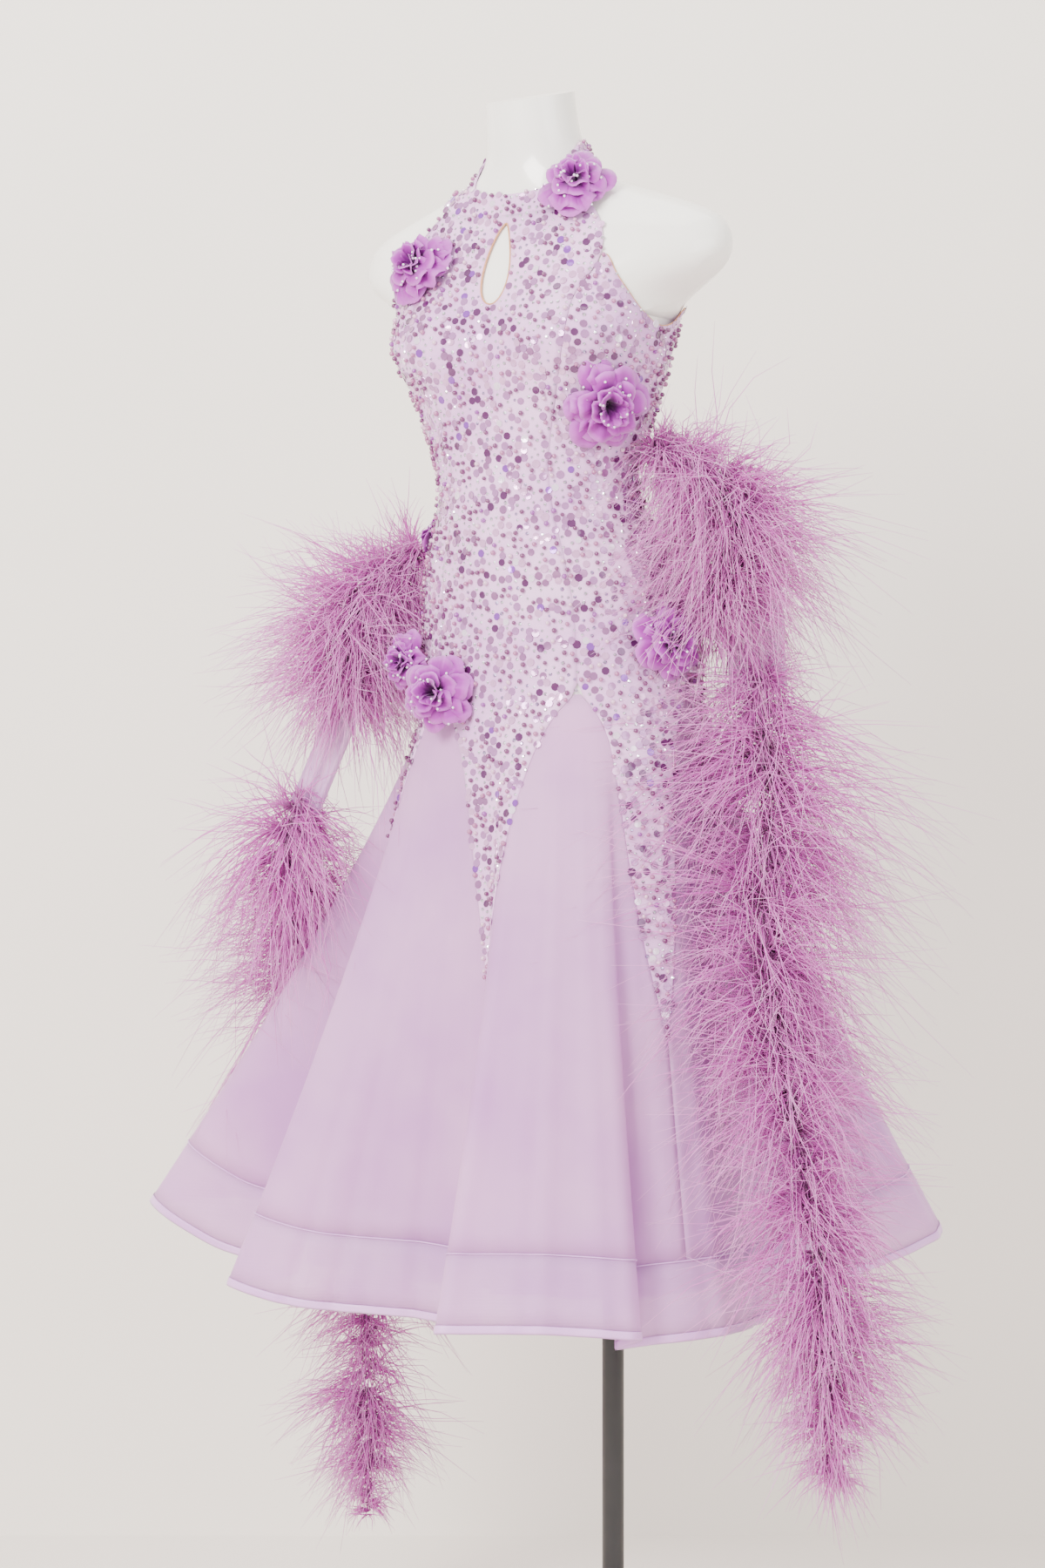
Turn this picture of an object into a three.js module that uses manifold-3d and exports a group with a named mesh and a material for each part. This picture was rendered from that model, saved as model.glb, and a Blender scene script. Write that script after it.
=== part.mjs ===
// A ballroom dance dress on a plain torso form with a round pole stand.
// Millimetres, +Z up. The dress faces -Y and its left side is +X. The pole stands on the origin.
import * as THREE from 'three';
import { mergeVertices } from 'three/addons/utils/BufferGeometryUtils.js';
import Module from 'manifold-3d';

const wasm = await Module();
wasm.setup();

// Driving dimensions
const CLOTH = 1.4; // wall of the sheath and skirt cloth
const EASE = 1.6; // air between the form and the sheath
const SEAM = 1.3; // air between two pieces that are sewn to each other
const HIP_Z = 1135; // height where the godets start
const TIP_Z = 768; // height where each gore runs out between two godets
const HEM_Z = 450; // nominal height of the hem
const BRAID = 84; // height of the horsehair braid in the hem
const BINDING = 9; // height of the ribbon on the hem's edge
const TIP_WIDTH = 2.4; // width left at a gore's lower end
const AXIS_Y = -115; // the middle of the skirt, in front of the pole
const TAPER = { even: 0.56, power: 10 }; // a gore narrows quickly just below the hip, then evenly
const FLARE = 1.18; // how the skirt leaves the hip
const UNDER_INSET = -9; // the underskirt's place inside its own line
const UNDER_CLOTH = 1.2;
const FORM_FOOT_Z = 1000;
const FORM_INSET = 4.4; // the plain form stays this far inside its smooth skin
const POLE_RADIUS = 12.5;
const BASE = { radius: 190, thick: 10, y: -80, boss: 24, bossTop: 38 };
const LOOK = 33; // the angle that the chiffon floats face
const BUST = { angle: 36, z: 1518, lift: 30, spread: 27, above: 60, below: 42 };

// The form's sections, from the cut thigh to the neck top: half its width, and its depth to each side of y
const BODY = [
  { z: 985, y: -112, half: 148, front: 108, back: 126 },
  { z: 1060, y: -112, half: 160, front: 121, back: 134 },
  { z: 1155, y: -113, half: 162, front: 125, back: 132 },
  { z: 1225, y: -121, half: 156, front: 118, back: 122 },
  { z: 1275, y: -136, half: 144, front: 108, back: 110 },
  { z: 1320, y: -150, half: 125, front: 96, back: 97 },
  { z: 1370, y: -159, half: 114, front: 90, back: 90 },
  { z: 1410, y: -161, half: 123, front: 92, back: 93 },
  { z: 1450, y: -161, half: 139, front: 96, back: 99 },
  { z: 1490, y: -160, half: 152, front: 100, back: 104 },
  { z: 1525, y: -156, half: 160, front: 100, back: 106 },
  { z: 1560, y: -150, half: 173, front: 98, back: 104 },
  { z: 1600, y: -145, half: 226, front: 93, back: 96 },
  { z: 1632, y: -142, half: 232, front: 86, back: 84 },
  { z: 1655, y: -140, half: 212, front: 78, back: 74 },
  { z: 1680, y: -141, half: 150, front: 70, back: 64 },
  { z: 1700, y: -147, half: 92, front: 63, back: 57 },
  { z: 1722, y: -157, half: 63, front: 55, back: 54 },
  { z: 1750, y: -167, half: 53, front: 51, back: 53 },
  { z: 1815, y: -179, half: 48, front: 50, back: 52 },
];
const NECK_TOP = { z: 1794, tilt: 15 }; // the slanted cut through the neck
const SHOULDER_CUT = { x: 190, z: 1573, tilt: 41 }; // the slanted cut under each shoulder

// The hem, round from centre back by the right side: the angle that the cloth leaves the hip at,
// then the angle, the reach from the skirt's middle and the height that it hangs at
const HEM = [
  { from: -180, at: -180, reach: 262, z: 452 },
  { from: -170, at: -171, reach: 318, z: 462 },
  { from: -157, at: -157, reach: 402, z: 486 },
  { from: -145, at: -146, reach: 425, z: 494 },
  { from: -134, at: -137, reach: 388, z: 482 },
  { from: -124, at: -128, reach: 290, z: 455 },
  { from: -116, at: -117, reach: 300, z: 458 },
  { from: -108, at: -109, reach: 420, z: 505 },
  { from: -98, at: -100, reach: 497, z: 530 },
  { from: -88, at: -87, reach: 500, z: 538 },
  { from: -80, at: -75, reach: 497, z: 545 },
  { from: -73, at: -72, reach: 405, z: 500 },
  { from: -66, at: -72, reach: 312, z: 480 },
  { from: -59, at: -63, reach: 325, z: 474 },
  { from: -50, at: -54, reach: 372, z: 478 },
  { from: -40, at: -47, reach: 318, z: 462 },
  { from: -30, at: -43, reach: 258, z: 454 },
  { from: -18, at: -27, reach: 192, z: 452 },
  { from: -8, at: -6, reach: 170, z: 447 },
  { from: 0, at: 6, reach: 192, z: 446 },
  { from: 6, at: 3, reach: 245, z: 452 },
  { from: 12, at: 5, reach: 280, z: 457 },
  { from: 20, at: 18, reach: 262, z: 458 },
  { from: 29, at: 33, reach: 249, z: 456 },
  { from: 38, at: 49, reach: 252, z: 450 },
  { from: 43, at: 54, reach: 238, z: 446 },
  { from: 48, at: 49, reach: 200, z: 432 },
  { from: 56, at: 60, reach: 214, z: 437 },
  { from: 66, at: 76, reach: 246, z: 444 },
  { from: 78, at: 96, reach: 242, z: 446 },
  { from: 88, at: 109, reach: 230, z: 446 },
  { from: 96, at: 119, reach: 203, z: 438 },
  { from: 104, at: 128, reach: 248, z: 436 },
  { from: 112, at: 131, reach: 350, z: 480 },
  { from: 120, at: 133, reach: 434, z: 512 },
  { from: 128, at: 138, reach: 456, z: 521 },
  { from: 138, at: 147, reach: 436, z: 508 },
  { from: 148, at: 153, reach: 345, z: 474 },
  { from: 157, at: 160, reach: 268, z: 454 },
  { from: 168, at: 169, reach: 300, z: 458 },
];

// The underskirt's hem, which follows the outer one from inside
const UNDER_HEM = [
  { from: -180, at: -180, reach: 236, z: 492 },
  { from: -157, at: -157, reach: 330, z: 504 },
  { from: -143, at: -143, reach: 340, z: 508 },
  { from: -121, at: -121, reach: 252, z: 496 },
  { from: -100, at: -98, reach: 380, z: 530 },
  { from: -84, at: -84, reach: 372, z: 528 },
  { from: -68, at: -66, reach: 272, z: 500 },
  { from: -50, at: -53, reach: 290, z: 502 },
  { from: -30, at: -34, reach: 190, z: 490 },
  { from: -8, at: -8, reach: 142, z: 486 },
  { from: 12, at: 10, reach: 200, z: 490 },
  { from: 28, at: 28, reach: 208, z: 492 },
  { from: 48, at: 44, reach: 160, z: 480 },
  { from: 66, at: 70, reach: 192, z: 484 },
  { from: 86, at: 94, reach: 196, z: 486 },
  { from: 100, at: 116, reach: 172, z: 482 },
  { from: 116, at: 136, reach: 300, z: 508 },
  { from: 132, at: 145, reach: 318, z: 512 },
  { from: 152, at: 157, reach: 226, z: 494 },
  { from: 166, at: 168, reach: 240, z: 492 },
];

// The six gores: the angle of each gore's middle and of the seams to either side of it
const GORES = [
  { name: 'front_panel', right: -33, middle: 0, left: 33 },
  { name: 'side_front_panel_left', right: 33, middle: 62, left: 90 },
  { name: 'side_back_panel_left', right: 90, middle: 116, left: 145 },
  { name: 'back_panel', right: 145, middle: 180, left: 215 },
  { name: 'side_back_panel_right', right: 215, middle: 244, left: 270 },
  { name: 'side_front_panel_right', right: 270, middle: 298, left: 327 },
];
const GODETS = ['front_left', 'side_left', 'back_left', 'back_right', 'side_right', 'front_right'];

// The underskirt's four panels: the angles of their seams
const UNDER_PANELS = [
  { name: 'back_right', right: -180, left: -90 },
  { name: 'front_right', right: -90, left: 0 },
  { name: 'front_left', right: 0, left: 90 },
  { name: 'back_left', right: 90, left: 180 },
];

// The top edge of the sheath beyond the halter: the armhole and the low back
const TOP_EDGE = [
  { at: 33, z: 1606 },
  { at: 41, z: 1584 },
  { at: 54, z: 1562 },
  { at: 68, z: 1541 },
  { at: 82, z: 1531 },
  { at: 97, z: 1538 },
  { at: 110, z: 1556 },
  { at: 120, z: 1548 },
  { at: 134, z: 1470 },
  { at: 150, z: 1372 },
  { at: 166, z: 1318 },
  { at: 180, z: 1306 },
];
// The halter's edge: how far round the neck the front panel goes at each height
const HALTER_EDGE = [
  { z: 1250, at: 32.4 },
  { z: 1450, at: 32.1 },
  { z: 1560, at: 31.8 },
  { z: 1606, at: 31.2 },
  { z: 1640, at: 30 },
  { z: 1665, at: 31 },
  { z: 1690, at: 36 },
];
const KEYHOLE = { top: 1648, bottom: 1556, half: 19 };
const COLLAR = { back: 1748, dip: 66, high: 24 };

// Fabric roses: where each sits (angle and height on the dress), its size, how far it stands off
// and how far its face is turned round to the front
const ROSES = [
  { name: 'rose_collar', at: 34, z: 1684, radius: 42, high: 26, off: 10, turn: 0 },
  { name: 'rose_chest', at: -26, z: 1604, radius: 46, high: 30, off: 10, turn: 0 },
  { name: 'rose_ribs', at: 58, z: 1447, radius: 52, high: 32, off: 9, turn: 0 },
  { name: 'rose_hip_right_large', at: -24, z: 1134, radius: 45, high: 32, off: 24, turn: 26 },
  { name: 'rose_hip_right_small', at: -50, z: 1172, radius: 34, high: 26, off: 24, turn: 30 },
  { name: 'rose_hip_left', at: 74, z: 1190, radius: 45, high: 32, off: 9, turn: 0 },
  { name: 'rose_waist_right', at: -96, z: 1312, radius: 38, high: 28, off: 9, turn: 0 },
  { name: 'rose_hip_back', at: 150, z: 1210, radius: 42, high: 30, off: 9, turn: 0 },
];

// Ostrich boas: the middle line of each and how far its barbs reach
const BOAS = [
  {
    name: 'boa_left_top',
    line: [
      { x: 140, y: -150, z: 1402, reach: 30 },
      { x: 181, y: -124, z: 1380, reach: 70 },
      { x: 214, y: -102, z: 1338, reach: 92 },
      { x: 213, y: -98, z: 1275, reach: 86 },
      { x: 188, y: -114, z: 1206, reach: 44 },
    ],
  },
  {
    name: 'boa_left_fall',
    line: [
      { x: 236, y: -78, z: 1162, reach: 40 },
      { x: 244, y: -84, z: 1090, reach: 112 },
      { x: 254, y: -88, z: 1000, reach: 122 },
      { x: 256, y: -108, z: 922, reach: 118 },
      { x: 270, y: -123, z: 847, reach: 108 },
      { x: 290, y: -140, z: 774, reach: 96 },
      { x: 320, y: -158, z: 690, reach: 86 },
      { x: 346, y: -166, z: 590, reach: 80 },
      { x: 361, y: -165, z: 490, reach: 76 },
      { x: 366, y: -162, z: 400, reach: 66 },
      { x: 368, y: -160, z: 300, reach: 22 },
    ],
  },
  {
    name: 'boa_right_top',
    line: [
      { x: -182, y: -118, z: 1302, reach: 36 },
      { x: -221, y: -140, z: 1278, reach: 74 },
      { x: -250, y: -158, z: 1236, reach: 94 },
      { x: -256, y: -162, z: 1176, reach: 78 },
      { x: -248, y: -158, z: 1126, reach: 32 },
    ],
  },
  {
    name: 'boa_right_fall',
    line: [
      { x: -296, y: -194, z: 1030, reach: 40 },
      { x: -314, y: -202, z: 985, reach: 98 },
      { x: -350, y: -150, z: 900, reach: 96 },
      { x: -388, y: -66, z: 810, reach: 80 },
      { x: -412, y: 4, z: 700, reach: 74 },
      { x: -426, y: 64, z: 590, reach: 72 },
      { x: -426, y: 98, z: 480, reach: 76 },
      { x: -422, y: 106, z: 380, reach: 80 },
      { x: -420, y: 106, z: 290, reach: 74 },
      { x: -420, y: 106, z: 200, reach: 54 },
      { x: -420, y: 106, z: 128, reach: 16 },
    ],
  },
];

// The chiffon floats between the boas: the middle line and the half width
const FLOATS = [
  {
    name: 'float_left',
    start: { x: 212, y: -52, z: 1262 },
    end: { x: 222, y: -56, z: 1140 },
    half: 32,
  },
  {
    name: 'float_right',
    start: { x: -250, y: -160, z: 1146 },
    end: { x: -298, y: -192, z: 1006 },
    half: 18,
  },
];

// Materials
const finish = (color, roughness, metalness = 0) =>
  new THREE.MeshStandardMaterial({ color, roughness, metalness });
const SHEATH = finish('#dcc0e0', 0.55);
const SHEER = finish('#dfc4e4', 0.6);
const BRAIDING = finish('#d9c2df', 0.45);
const RIBBON = finish('#e6c3ea', 0.35);
const FEATHER = finish('#d57ecb', 0.9);
const ROSE = finish('#a862d2', 0.7);
const GLOSS_WHITE = finish('#f7f5f0', 0.18);
const BLACK_STEEL = finish('#1a1a1b', 0.4, 0.7);
const HOOK_STEEL = finish('#c9c9cc', 0.3, 0.9);

const dress = new THREE.Group();
const radians = THREE.MathUtils.degToRad;
const mix = THREE.MathUtils.lerp;
const clamp = THREE.MathUtils.clamp;

function addPiece(name, geometry, material) {
  const mesh = new THREE.Mesh(geometry, material);
  mesh.name = name;
  dress.add(mesh);
  return mesh;
}

// A smooth value of one column between the rows of a table that is sorted by its key
function between(table, key, column, value, period = 0) {
  const count = table.length;
  const row = (index) => {
    if (period) {
      const turns = Math.floor(index / count);
      const found = table[index - turns * count];
      return { key: found[key] + turns * period, value: found[column] };
    }
    const found = table[clamp(index, 0, count - 1)];
    return { key: found[key], value: found[column] };
  };
  let index = 0;
  const last = period ? count - 1 : count - 2;
  while (index < last && table[index + 1][key] <= value) index += 1;
  const before = row(index - 1);
  const start = row(index);
  const end = row(index + 1);
  const after = row(index + 2);
  const span = end.key - start.key;
  const share = clamp((value - start.key) / span, 0, 1);
  const startSlope = (end.value - before.value) / (end.key - before.key || span);
  const endSlope = (after.value - start.value) / (after.key - start.key || span);
  const square = share * share;
  const cube = square * share;
  return (
    start.value * (2 * cube - 3 * square + 1) +
    end.value * (3 * square - 2 * cube) +
    span * startSlope * (cube - 2 * square + share) +
    span * endSlope * (cube - square)
  );
}

const halfTurn = (angle) => ((((angle + 180) % 360) + 360) % 360) - 180;

// A point on the form's surface, moved out by some millimetres
function onForm(angle, z, out) {
  const side = halfTurn(angle);
  const turn = radians(angle);
  const across = (Math.abs(side) - BUST.angle) / BUST.spread;
  const up = (z - BUST.z) / (z > BUST.z ? BUST.above : BUST.below);
  const swell = BUST.lift * Math.exp(-across * across - up * up) + out;
  const depth = between(BODY, 'z', Math.cos(turn) > 0 ? 'front' : 'back', z) + swell;
  const half = between(BODY, 'z', 'half', z) + swell;
  const y = between(BODY, 'z', 'y', z) - depth * Math.cos(turn);
  return new THREE.Vector3(half * Math.sin(turn), y, z);
}

// A point of a hem, worked out from its table of folds
function onHem(table, angle) {
  const from = halfTurn(angle);
  const points = table.map((fold) => ({
    from: fold.from,
    x: Math.sin(radians(fold.at)) * fold.reach,
    y: AXIS_Y - Math.cos(radians(fold.at)) * fold.reach,
    z: fold.z,
  }));
  return new THREE.Vector3(
    between(points, 'from', 'x', from, 360),
    between(points, 'from', 'y', from, 360),
    between(points, 'from', 'z', from, 360),
  );
}

// A point of the outer cloth's inner face. Above the hip, level is its height. Below, level runs on
// evenly to the nominal hem height, and the point swings out to the hem's folds.
function onDress(angle, level, table = HEM) {
  if (level >= HIP_Z) return onForm(angle, level, EASE);
  const fall = (HIP_Z - level) / (HIP_Z - HEM_Z);
  const hip = onForm(angle, HIP_Z, EASE);
  const hem = onHem(table, angle);
  const spread = Math.pow(fall, FLARE);
  return new THREE.Vector3(
    mix(hip.x, hem.x, spread),
    mix(hip.y, hem.y, spread),
    mix(hip.z, hem.z, fall),
  );
}

// The same point moved out along the cloth's own normal
function offDress(angle, level, out, table = HEM) {
  const here = onDress(angle, level, table);
  const across = onDress(angle + 0.2, level, table).sub(onDress(angle - 0.2, level, table));
  const along = onDress(angle, level + 1, table).sub(onDress(angle, level - 1, table));
  const normal = across.cross(along).normalize();
  return here.addScaledVector(normal, out);
}

// A closed wall through a grid of places. inside and outside give the two faces at (column, row).
function wall(columns, rows, inside, outside) {
  const points = [];
  const faces = [];
  const wide = columns + 1;
  const tall = rows + 1;
  for (const face of [outside, inside]) {
    for (let row = 0; row < tall; row += 1) {
      for (let column = 0; column < wide; column += 1) {
        points.push(...face(column / columns, row / rows).toArray());
      }
    }
  }
  const outer = (column, row) => row * wide + column;
  const inner = (column, row) => outer(column, row) + wide * tall;
  const quad = (a, b, c, d) => faces.push(a, b, c, a, c, d);
  for (let row = 0; row < rows; row += 1) {
    for (let column = 0; column < columns; column += 1) {
      const next = column + 1;
      const below = row + 1;
      quad(outer(column, row), outer(column, below), outer(next, below), outer(next, row));
      quad(inner(column, row), inner(next, row), inner(next, below), inner(column, below));
    }
  }
  for (let column = 0; column < columns; column += 1) {
    const next = column + 1;
    quad(outer(column, 0), outer(next, 0), inner(next, 0), inner(column, 0));
    quad(outer(next, rows), outer(column, rows), inner(column, rows), inner(next, rows));
  }
  for (let row = 0; row < rows; row += 1) {
    const below = row + 1;
    quad(outer(0, below), outer(0, row), inner(0, row), inner(0, below));
    quad(outer(columns, row), outer(columns, below), inner(columns, below), inner(columns, row));
  }
  const geometry = new THREE.BufferGeometry();
  geometry.setAttribute('position', new THREE.Float32BufferAttribute(points, 3));
  geometry.setIndex(faces);
  return geometry;
}

// Booleans
function solid(geometry) {
  const bare = geometry.clone();
  bare.deleteAttribute('normal');
  bare.deleteAttribute('uv');
  const merged = mergeVertices(bare, 1e-4);
  return new wasm.Manifold(
    new wasm.Mesh({
      numProp: 3,
      vertProperties: new Float32Array(merged.attributes.position.array),
      triVerts: new Uint32Array(merged.index.array),
    }),
  );
}

function geometryOf(manifold) {
  const mesh = manifold.getMesh();
  const geometry = new THREE.BufferGeometry();
  geometry.setAttribute('position', new THREE.Float32BufferAttribute(mesh.vertProperties, 3));
  geometry.setIndex(Array.from(mesh.triVerts));
  return geometry;
}

// Seams: half the seam's gap, as an angle at this place
function seamAngle(angle, level) {
  const reach = onDress(angle + 0.5, level).distanceTo(onDress(angle - 0.5, level));
  return SEAM / 2 / reach;
}

const taper = (level) => {
  const share = clamp((level - TIP_Z) / (HIP_Z - TIP_Z), 0, 1);
  return TAPER.even * share + (1 - TAPER.even) * Math.pow(share, TAPER.power);
};

// The height of the sheath's top edge
function collarTop(angle) {
  const facing = (1 + Math.cos(radians(angle))) / 2;
  return COLLAR.back - COLLAR.dip * Math.pow(facing, 3);
}
const collarFoot = (angle) => collarTop(angle) - COLLAR.high;

function topEdge(angle) {
  const side = Math.abs(halfTurn(angle));
  return between(TOP_EDGE, 'at', 'z', side);
}

const MID_Z = 1250; // the rows of every gore meet at this height
const UPPER_ROWS = 9;
const LOWER_LEVELS = [MID_Z, 1190, HIP_Z, 1105, 1070, 1000, 925, 850, TIP_Z];
const COLUMN_ANGLE = 3.75; // degrees between the columns of a skirt strip
const SKIRT_LEVELS = [HIP_Z, 1105, 1070, 1000, 925, 850, TIP_Z, 690, 610, HEM_Z + BRAID];

function goreEdges(gore, level) {
  const share = taper(level);
  let right = mix(gore.middle, gore.right, share);
  let left = mix(gore.middle, gore.left, share);
  const least = (seamAngle(gore.middle, level) * TIP_WIDTH) / SEAM;
  if (left - right < 2 * least) {
    right = gore.middle - least;
    left = gore.middle + least;
  }
  return [right, left];
}

function goreLevel(row, top) {
  if (row <= UPPER_ROWS) return mix(top, MID_Z, row / UPPER_ROWS);
  return LOWER_LEVELS[row - UPPER_ROWS];
}

function makeGore(gore) {
  const columns = 6;
  const rows = UPPER_ROWS + LOWER_LEVELS.length - 1;
  const isFront = gore.middle === 0;
  const place = (share, down) => {
    const row = Math.round(down * rows);
    const nominal = row <= UPPER_ROWS ? MID_Z : LOWER_LEVELS[row - UPPER_ROWS];
    let [right, left] = goreEdges(gore, nominal);
    let level = nominal;
    if (isFront && row < UPPER_ROWS) {
      const rise = mix(collarFoot(0), MID_Z, row / UPPER_ROWS);
      left = between(HALTER_EDGE, 'z', 'at', rise);
      right = -left;
    }
    const gap = seamAngle(mix(right, left, share), nominal);
    const angle = mix(right + gap, left - gap, share);
    if (row < UPPER_ROWS) {
      const top = isFront ? collarFoot(angle) - 3 * SEAM : topEdge(angle);
      level = goreLevel(row, top);
    }
    return { angle, level };
  };
  const face = (out) => (share, down) => {
    const { angle, level } = place(share, down);
    return offDress(angle, level, out);
  };
  return wall(columns, rows, face(0), face(CLOTH));
}

function keyhole() {
  const shape = new THREE.Shape();
  const tall = KEYHOLE.top - KEYHOLE.bottom;
  const steps = 28;
  for (let step = 0; step < steps; step += 1) {
    const turn = (step / steps) * 2 * Math.PI;
    const up = (1 - Math.cos(turn)) / 2;
    const lean = Math.pow(1 - up, 0.62);
    const x = Math.sin(turn) * KEYHOLE.half * (0.35 + 0.75 * lean);
    if (step === 0) shape.moveTo(x, up * tall);
    else shape.lineTo(x, up * tall);
  }
  shape.closePath();
  const hole = new THREE.ExtrudeGeometry(shape, { depth: 120, bevelEnabled: false });
  hole.rotateX(Math.PI / 2);
  hole.translate(0, -180, KEYHOLE.bottom);
  return hole;
}

function makeGodet(index) {
  const rightGore = GORES[index];
  const leftGore = GORES[(index + 1) % GORES.length];
  const turnsOver = leftGore.middle < rightGore.middle ? 360 : 0;
  const columns = 14;
  const rows = SKIRT_LEVELS.length - 1;
  const face = (out) => (share, down) => {
    const row = Math.round(down * rows);
    const level = row === 0 ? HIP_Z - 4 : SKIRT_LEVELS[row];
    let right = goreEdges(rightGore, level)[1];
    let left = goreEdges(leftGore, level)[0] + turnsOver;
    if (level < TIP_Z) {
      right = rightGore.middle;
      left = leftGore.middle + turnsOver;
    }
    const angle = mix(right, left, share);
    const gap = seamAngle(angle, level);
    return offDress(mix(right + gap, left - gap, share), level, out);
  };
  return wall(columns, rows, face(0), face(CLOTH));
}

// One length of the skirt between two seams, such as a panel or a strip of braid
function skirtStrip(seams, levels, inset, thick, table = HEM) {
  const columns = Math.round((seams.left - seams.right) / COLUMN_ANGLE);
  const face = (out) => (share, down) => {
    const level = levels[Math.round(down * (levels.length - 1))];
    const gap = seamAngle(mix(seams.right, seams.left, share), level);
    return offDress(mix(seams.right + gap, seams.left - gap, share), level, out, table);
  };
  return wall(columns, levels.length - 1, face(inset), face(inset + thick));
}

// A closed body through rings of points, from its lowest ring up, with a point in the middle of each end
function loft(rings, foot, head) {
  const sides = rings[0].length;
  const points = rings.flat().concat([foot, head]).flatMap((point) => point.toArray());
  const faces = [];
  const footIndex = rings.length * sides;
  const last = footIndex - sides;
  for (let side = 0; side < sides; side += 1) {
    const next = (side + 1) % sides;
    for (let row = 0; row < rings.length - 1; row += 1) {
      const a = row * sides + side;
      const b = row * sides + next;
      faces.push(a, b, b + sides, a, b + sides, a + sides);
    }
    faces.push(footIndex, next, side);
    faces.push(footIndex + 1, last + side, last + next);
  }
  const geometry = new THREE.BufferGeometry();
  geometry.setAttribute('position', new THREE.Float32BufferAttribute(points, 3));
  geometry.setIndex(faces);
  return geometry;
}

const around = (count, place) => Array.from({ length: count }, (_, index) => place(index / count));

// The form
function makeForm() {
  const levels = [FORM_FOOT_Z, ...BODY.map((row) => row.z).filter((z) => z > FORM_FOOT_Z)];
  const rings = levels.map((z) => around(28, (share) => onForm(share * 360, z, -FORM_INSET)));
  const foot = new THREE.Vector3(0, AXIS_Y, levels[0]);
  const head = new THREE.Vector3(0, -175, levels[levels.length - 1]);
  const geometry = loft(rings, foot, head);
  let body = solid(geometry);
  for (const side of [-1, 1]) {
    const under = new THREE.BoxGeometry(240, 320, 240);
    under.translate(0, 0, -120);
    under.rotateY(radians(side * -SHOULDER_CUT.tilt));
    under.translate(side * SHOULDER_CUT.x, -140, SHOULDER_CUT.z);
    const reach = new THREE.BoxGeometry(200, 320, 240);
    reach.translate(side * 254, -140, 1610);
    body = body.subtract(solid(under).intersect(solid(reach)));
  }
  const above = new THREE.BoxGeometry(200, 260, 100);
  above.translate(0, 0, 50);
  above.rotateX(radians(NECK_TOP.tilt));
  above.translate(0, -177, NECK_TOP.z);
  return geometryOf(body.subtract(solid(above)));
}

function makeCollar() {
  const columns = 28;
  const rows = 2;
  const opening = 1.2; // degrees left open at the back, where the hook closes it
  const face = (out) => (share, down) => {
    const angle = -180 + opening + share * (360 - 2 * opening);
    const z = mix(collarTop(angle), collarFoot(angle), down);
    return onForm(angle, z, EASE + out);
  };
  return wall(columns, rows, face(0), face(CLOTH));
}

function makeHook() {
  const z = (collarTop(180) + collarFoot(180)) / 2;
  const at = onForm(180, z, EASE + CLOTH);
  const plate = new THREE.BoxGeometry(16, 1.6, 8);
  plate.rotateX(radians(-8));
  plate.translate(0, at.y + 3.2, z);
  return plate;
}

// A rose: a low ruffled bun with a hollowed middle
function makeRose(rose) {
  const profile = [
    { share: 0.28, up: 0 },
    { share: 0.8, up: 0.12 },
    { share: 1, up: 0.42 },
    { share: 0.78, up: 0.86 },
    { share: 0.42, up: 1 },
  ];
  const rings = profile.map((ring, row) =>
    around(12, (share) => {
      const turn = share * 2 * Math.PI;
      const ruffle = 1 + 0.07 * Math.sin(5 * turn + row) * ring.share;
      const reach = rose.radius * ring.share * ruffle;
      return new THREE.Vector3(Math.cos(turn) * reach, Math.sin(turn) * reach, rose.high * ring.up);
    }),
  );
  const head = new THREE.Vector3(0, 0, rose.high * 0.88);
  const geometry = loft(rings, new THREE.Vector3(), head);
  const base = offDress(rose.at, rose.z, rose.off);
  const facing = offDress(rose.at, rose.z, rose.off + 10).sub(base).normalize();
  facing.applyAxisAngle(new THREE.Vector3(0, 0, 1), radians(rose.turn));
  const turn = new THREE.Quaternion().setFromUnitVectors(new THREE.Vector3(0, 0, 1), facing);
  geometry.applyQuaternion(turn);
  geometry.translate(base.x, base.y, base.z);
  return geometry;
}

// A tube of changing reach along a line, with closed ends
function plume(line) {
  const middles = line.map((row) => new THREE.Vector3(row.x, row.y, row.z));
  const curve = new THREE.CatmullRomCurve3(middles);
  const steps = (line.length - 1) * 2;
  const rings = [];
  for (let step = steps; step >= 0; step -= 1) {
    const place = (step / steps) * (line.length - 1);
    const index = Math.min(Math.floor(place), line.length - 2);
    const reach = mix(line[index].reach, line[index + 1].reach, place - index);
    const here = curve.getPoint(step / steps);
    const way = curve.getTangent(step / steps);
    const sideways = new THREE.Vector3(1, 0, 0).cross(way).normalize();
    const across = way.clone().cross(sideways).normalize();
    const ring = around(10, (share) => {
      const turn = share * 2 * Math.PI;
      const point = here.clone().addScaledVector(across, Math.cos(turn) * reach);
      return point.addScaledVector(sideways, Math.sin(turn) * reach);
    });
    rings.push(ring);
  }
  return loft(rings, middles[middles.length - 1], middles[0]);
}

// The room that the dress takes up, from the chest to the hem, grown by some millimetres
function dressRoom(grow) {
  const levels = [1620, 1560, 1500, 1440, 1380, 1320, MID_Z, 1195, ...SKIRT_LEVELS, HEM_Z].reverse();
  const rings = levels.map((level) =>
    around(144, (share) => {
      const here = onDress(share * 360, level);
      const out = new THREE.Vector3(here.x, here.y - AXIS_Y, 0).normalize();
      return here.addScaledVector(out, grow);
    }),
  );
  const head = new THREE.Vector3(0, -150, levels[levels.length - 1]);
  return solid(loft(rings, new THREE.Vector3(0, AXIS_Y, HEM_Z), head));
}

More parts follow.
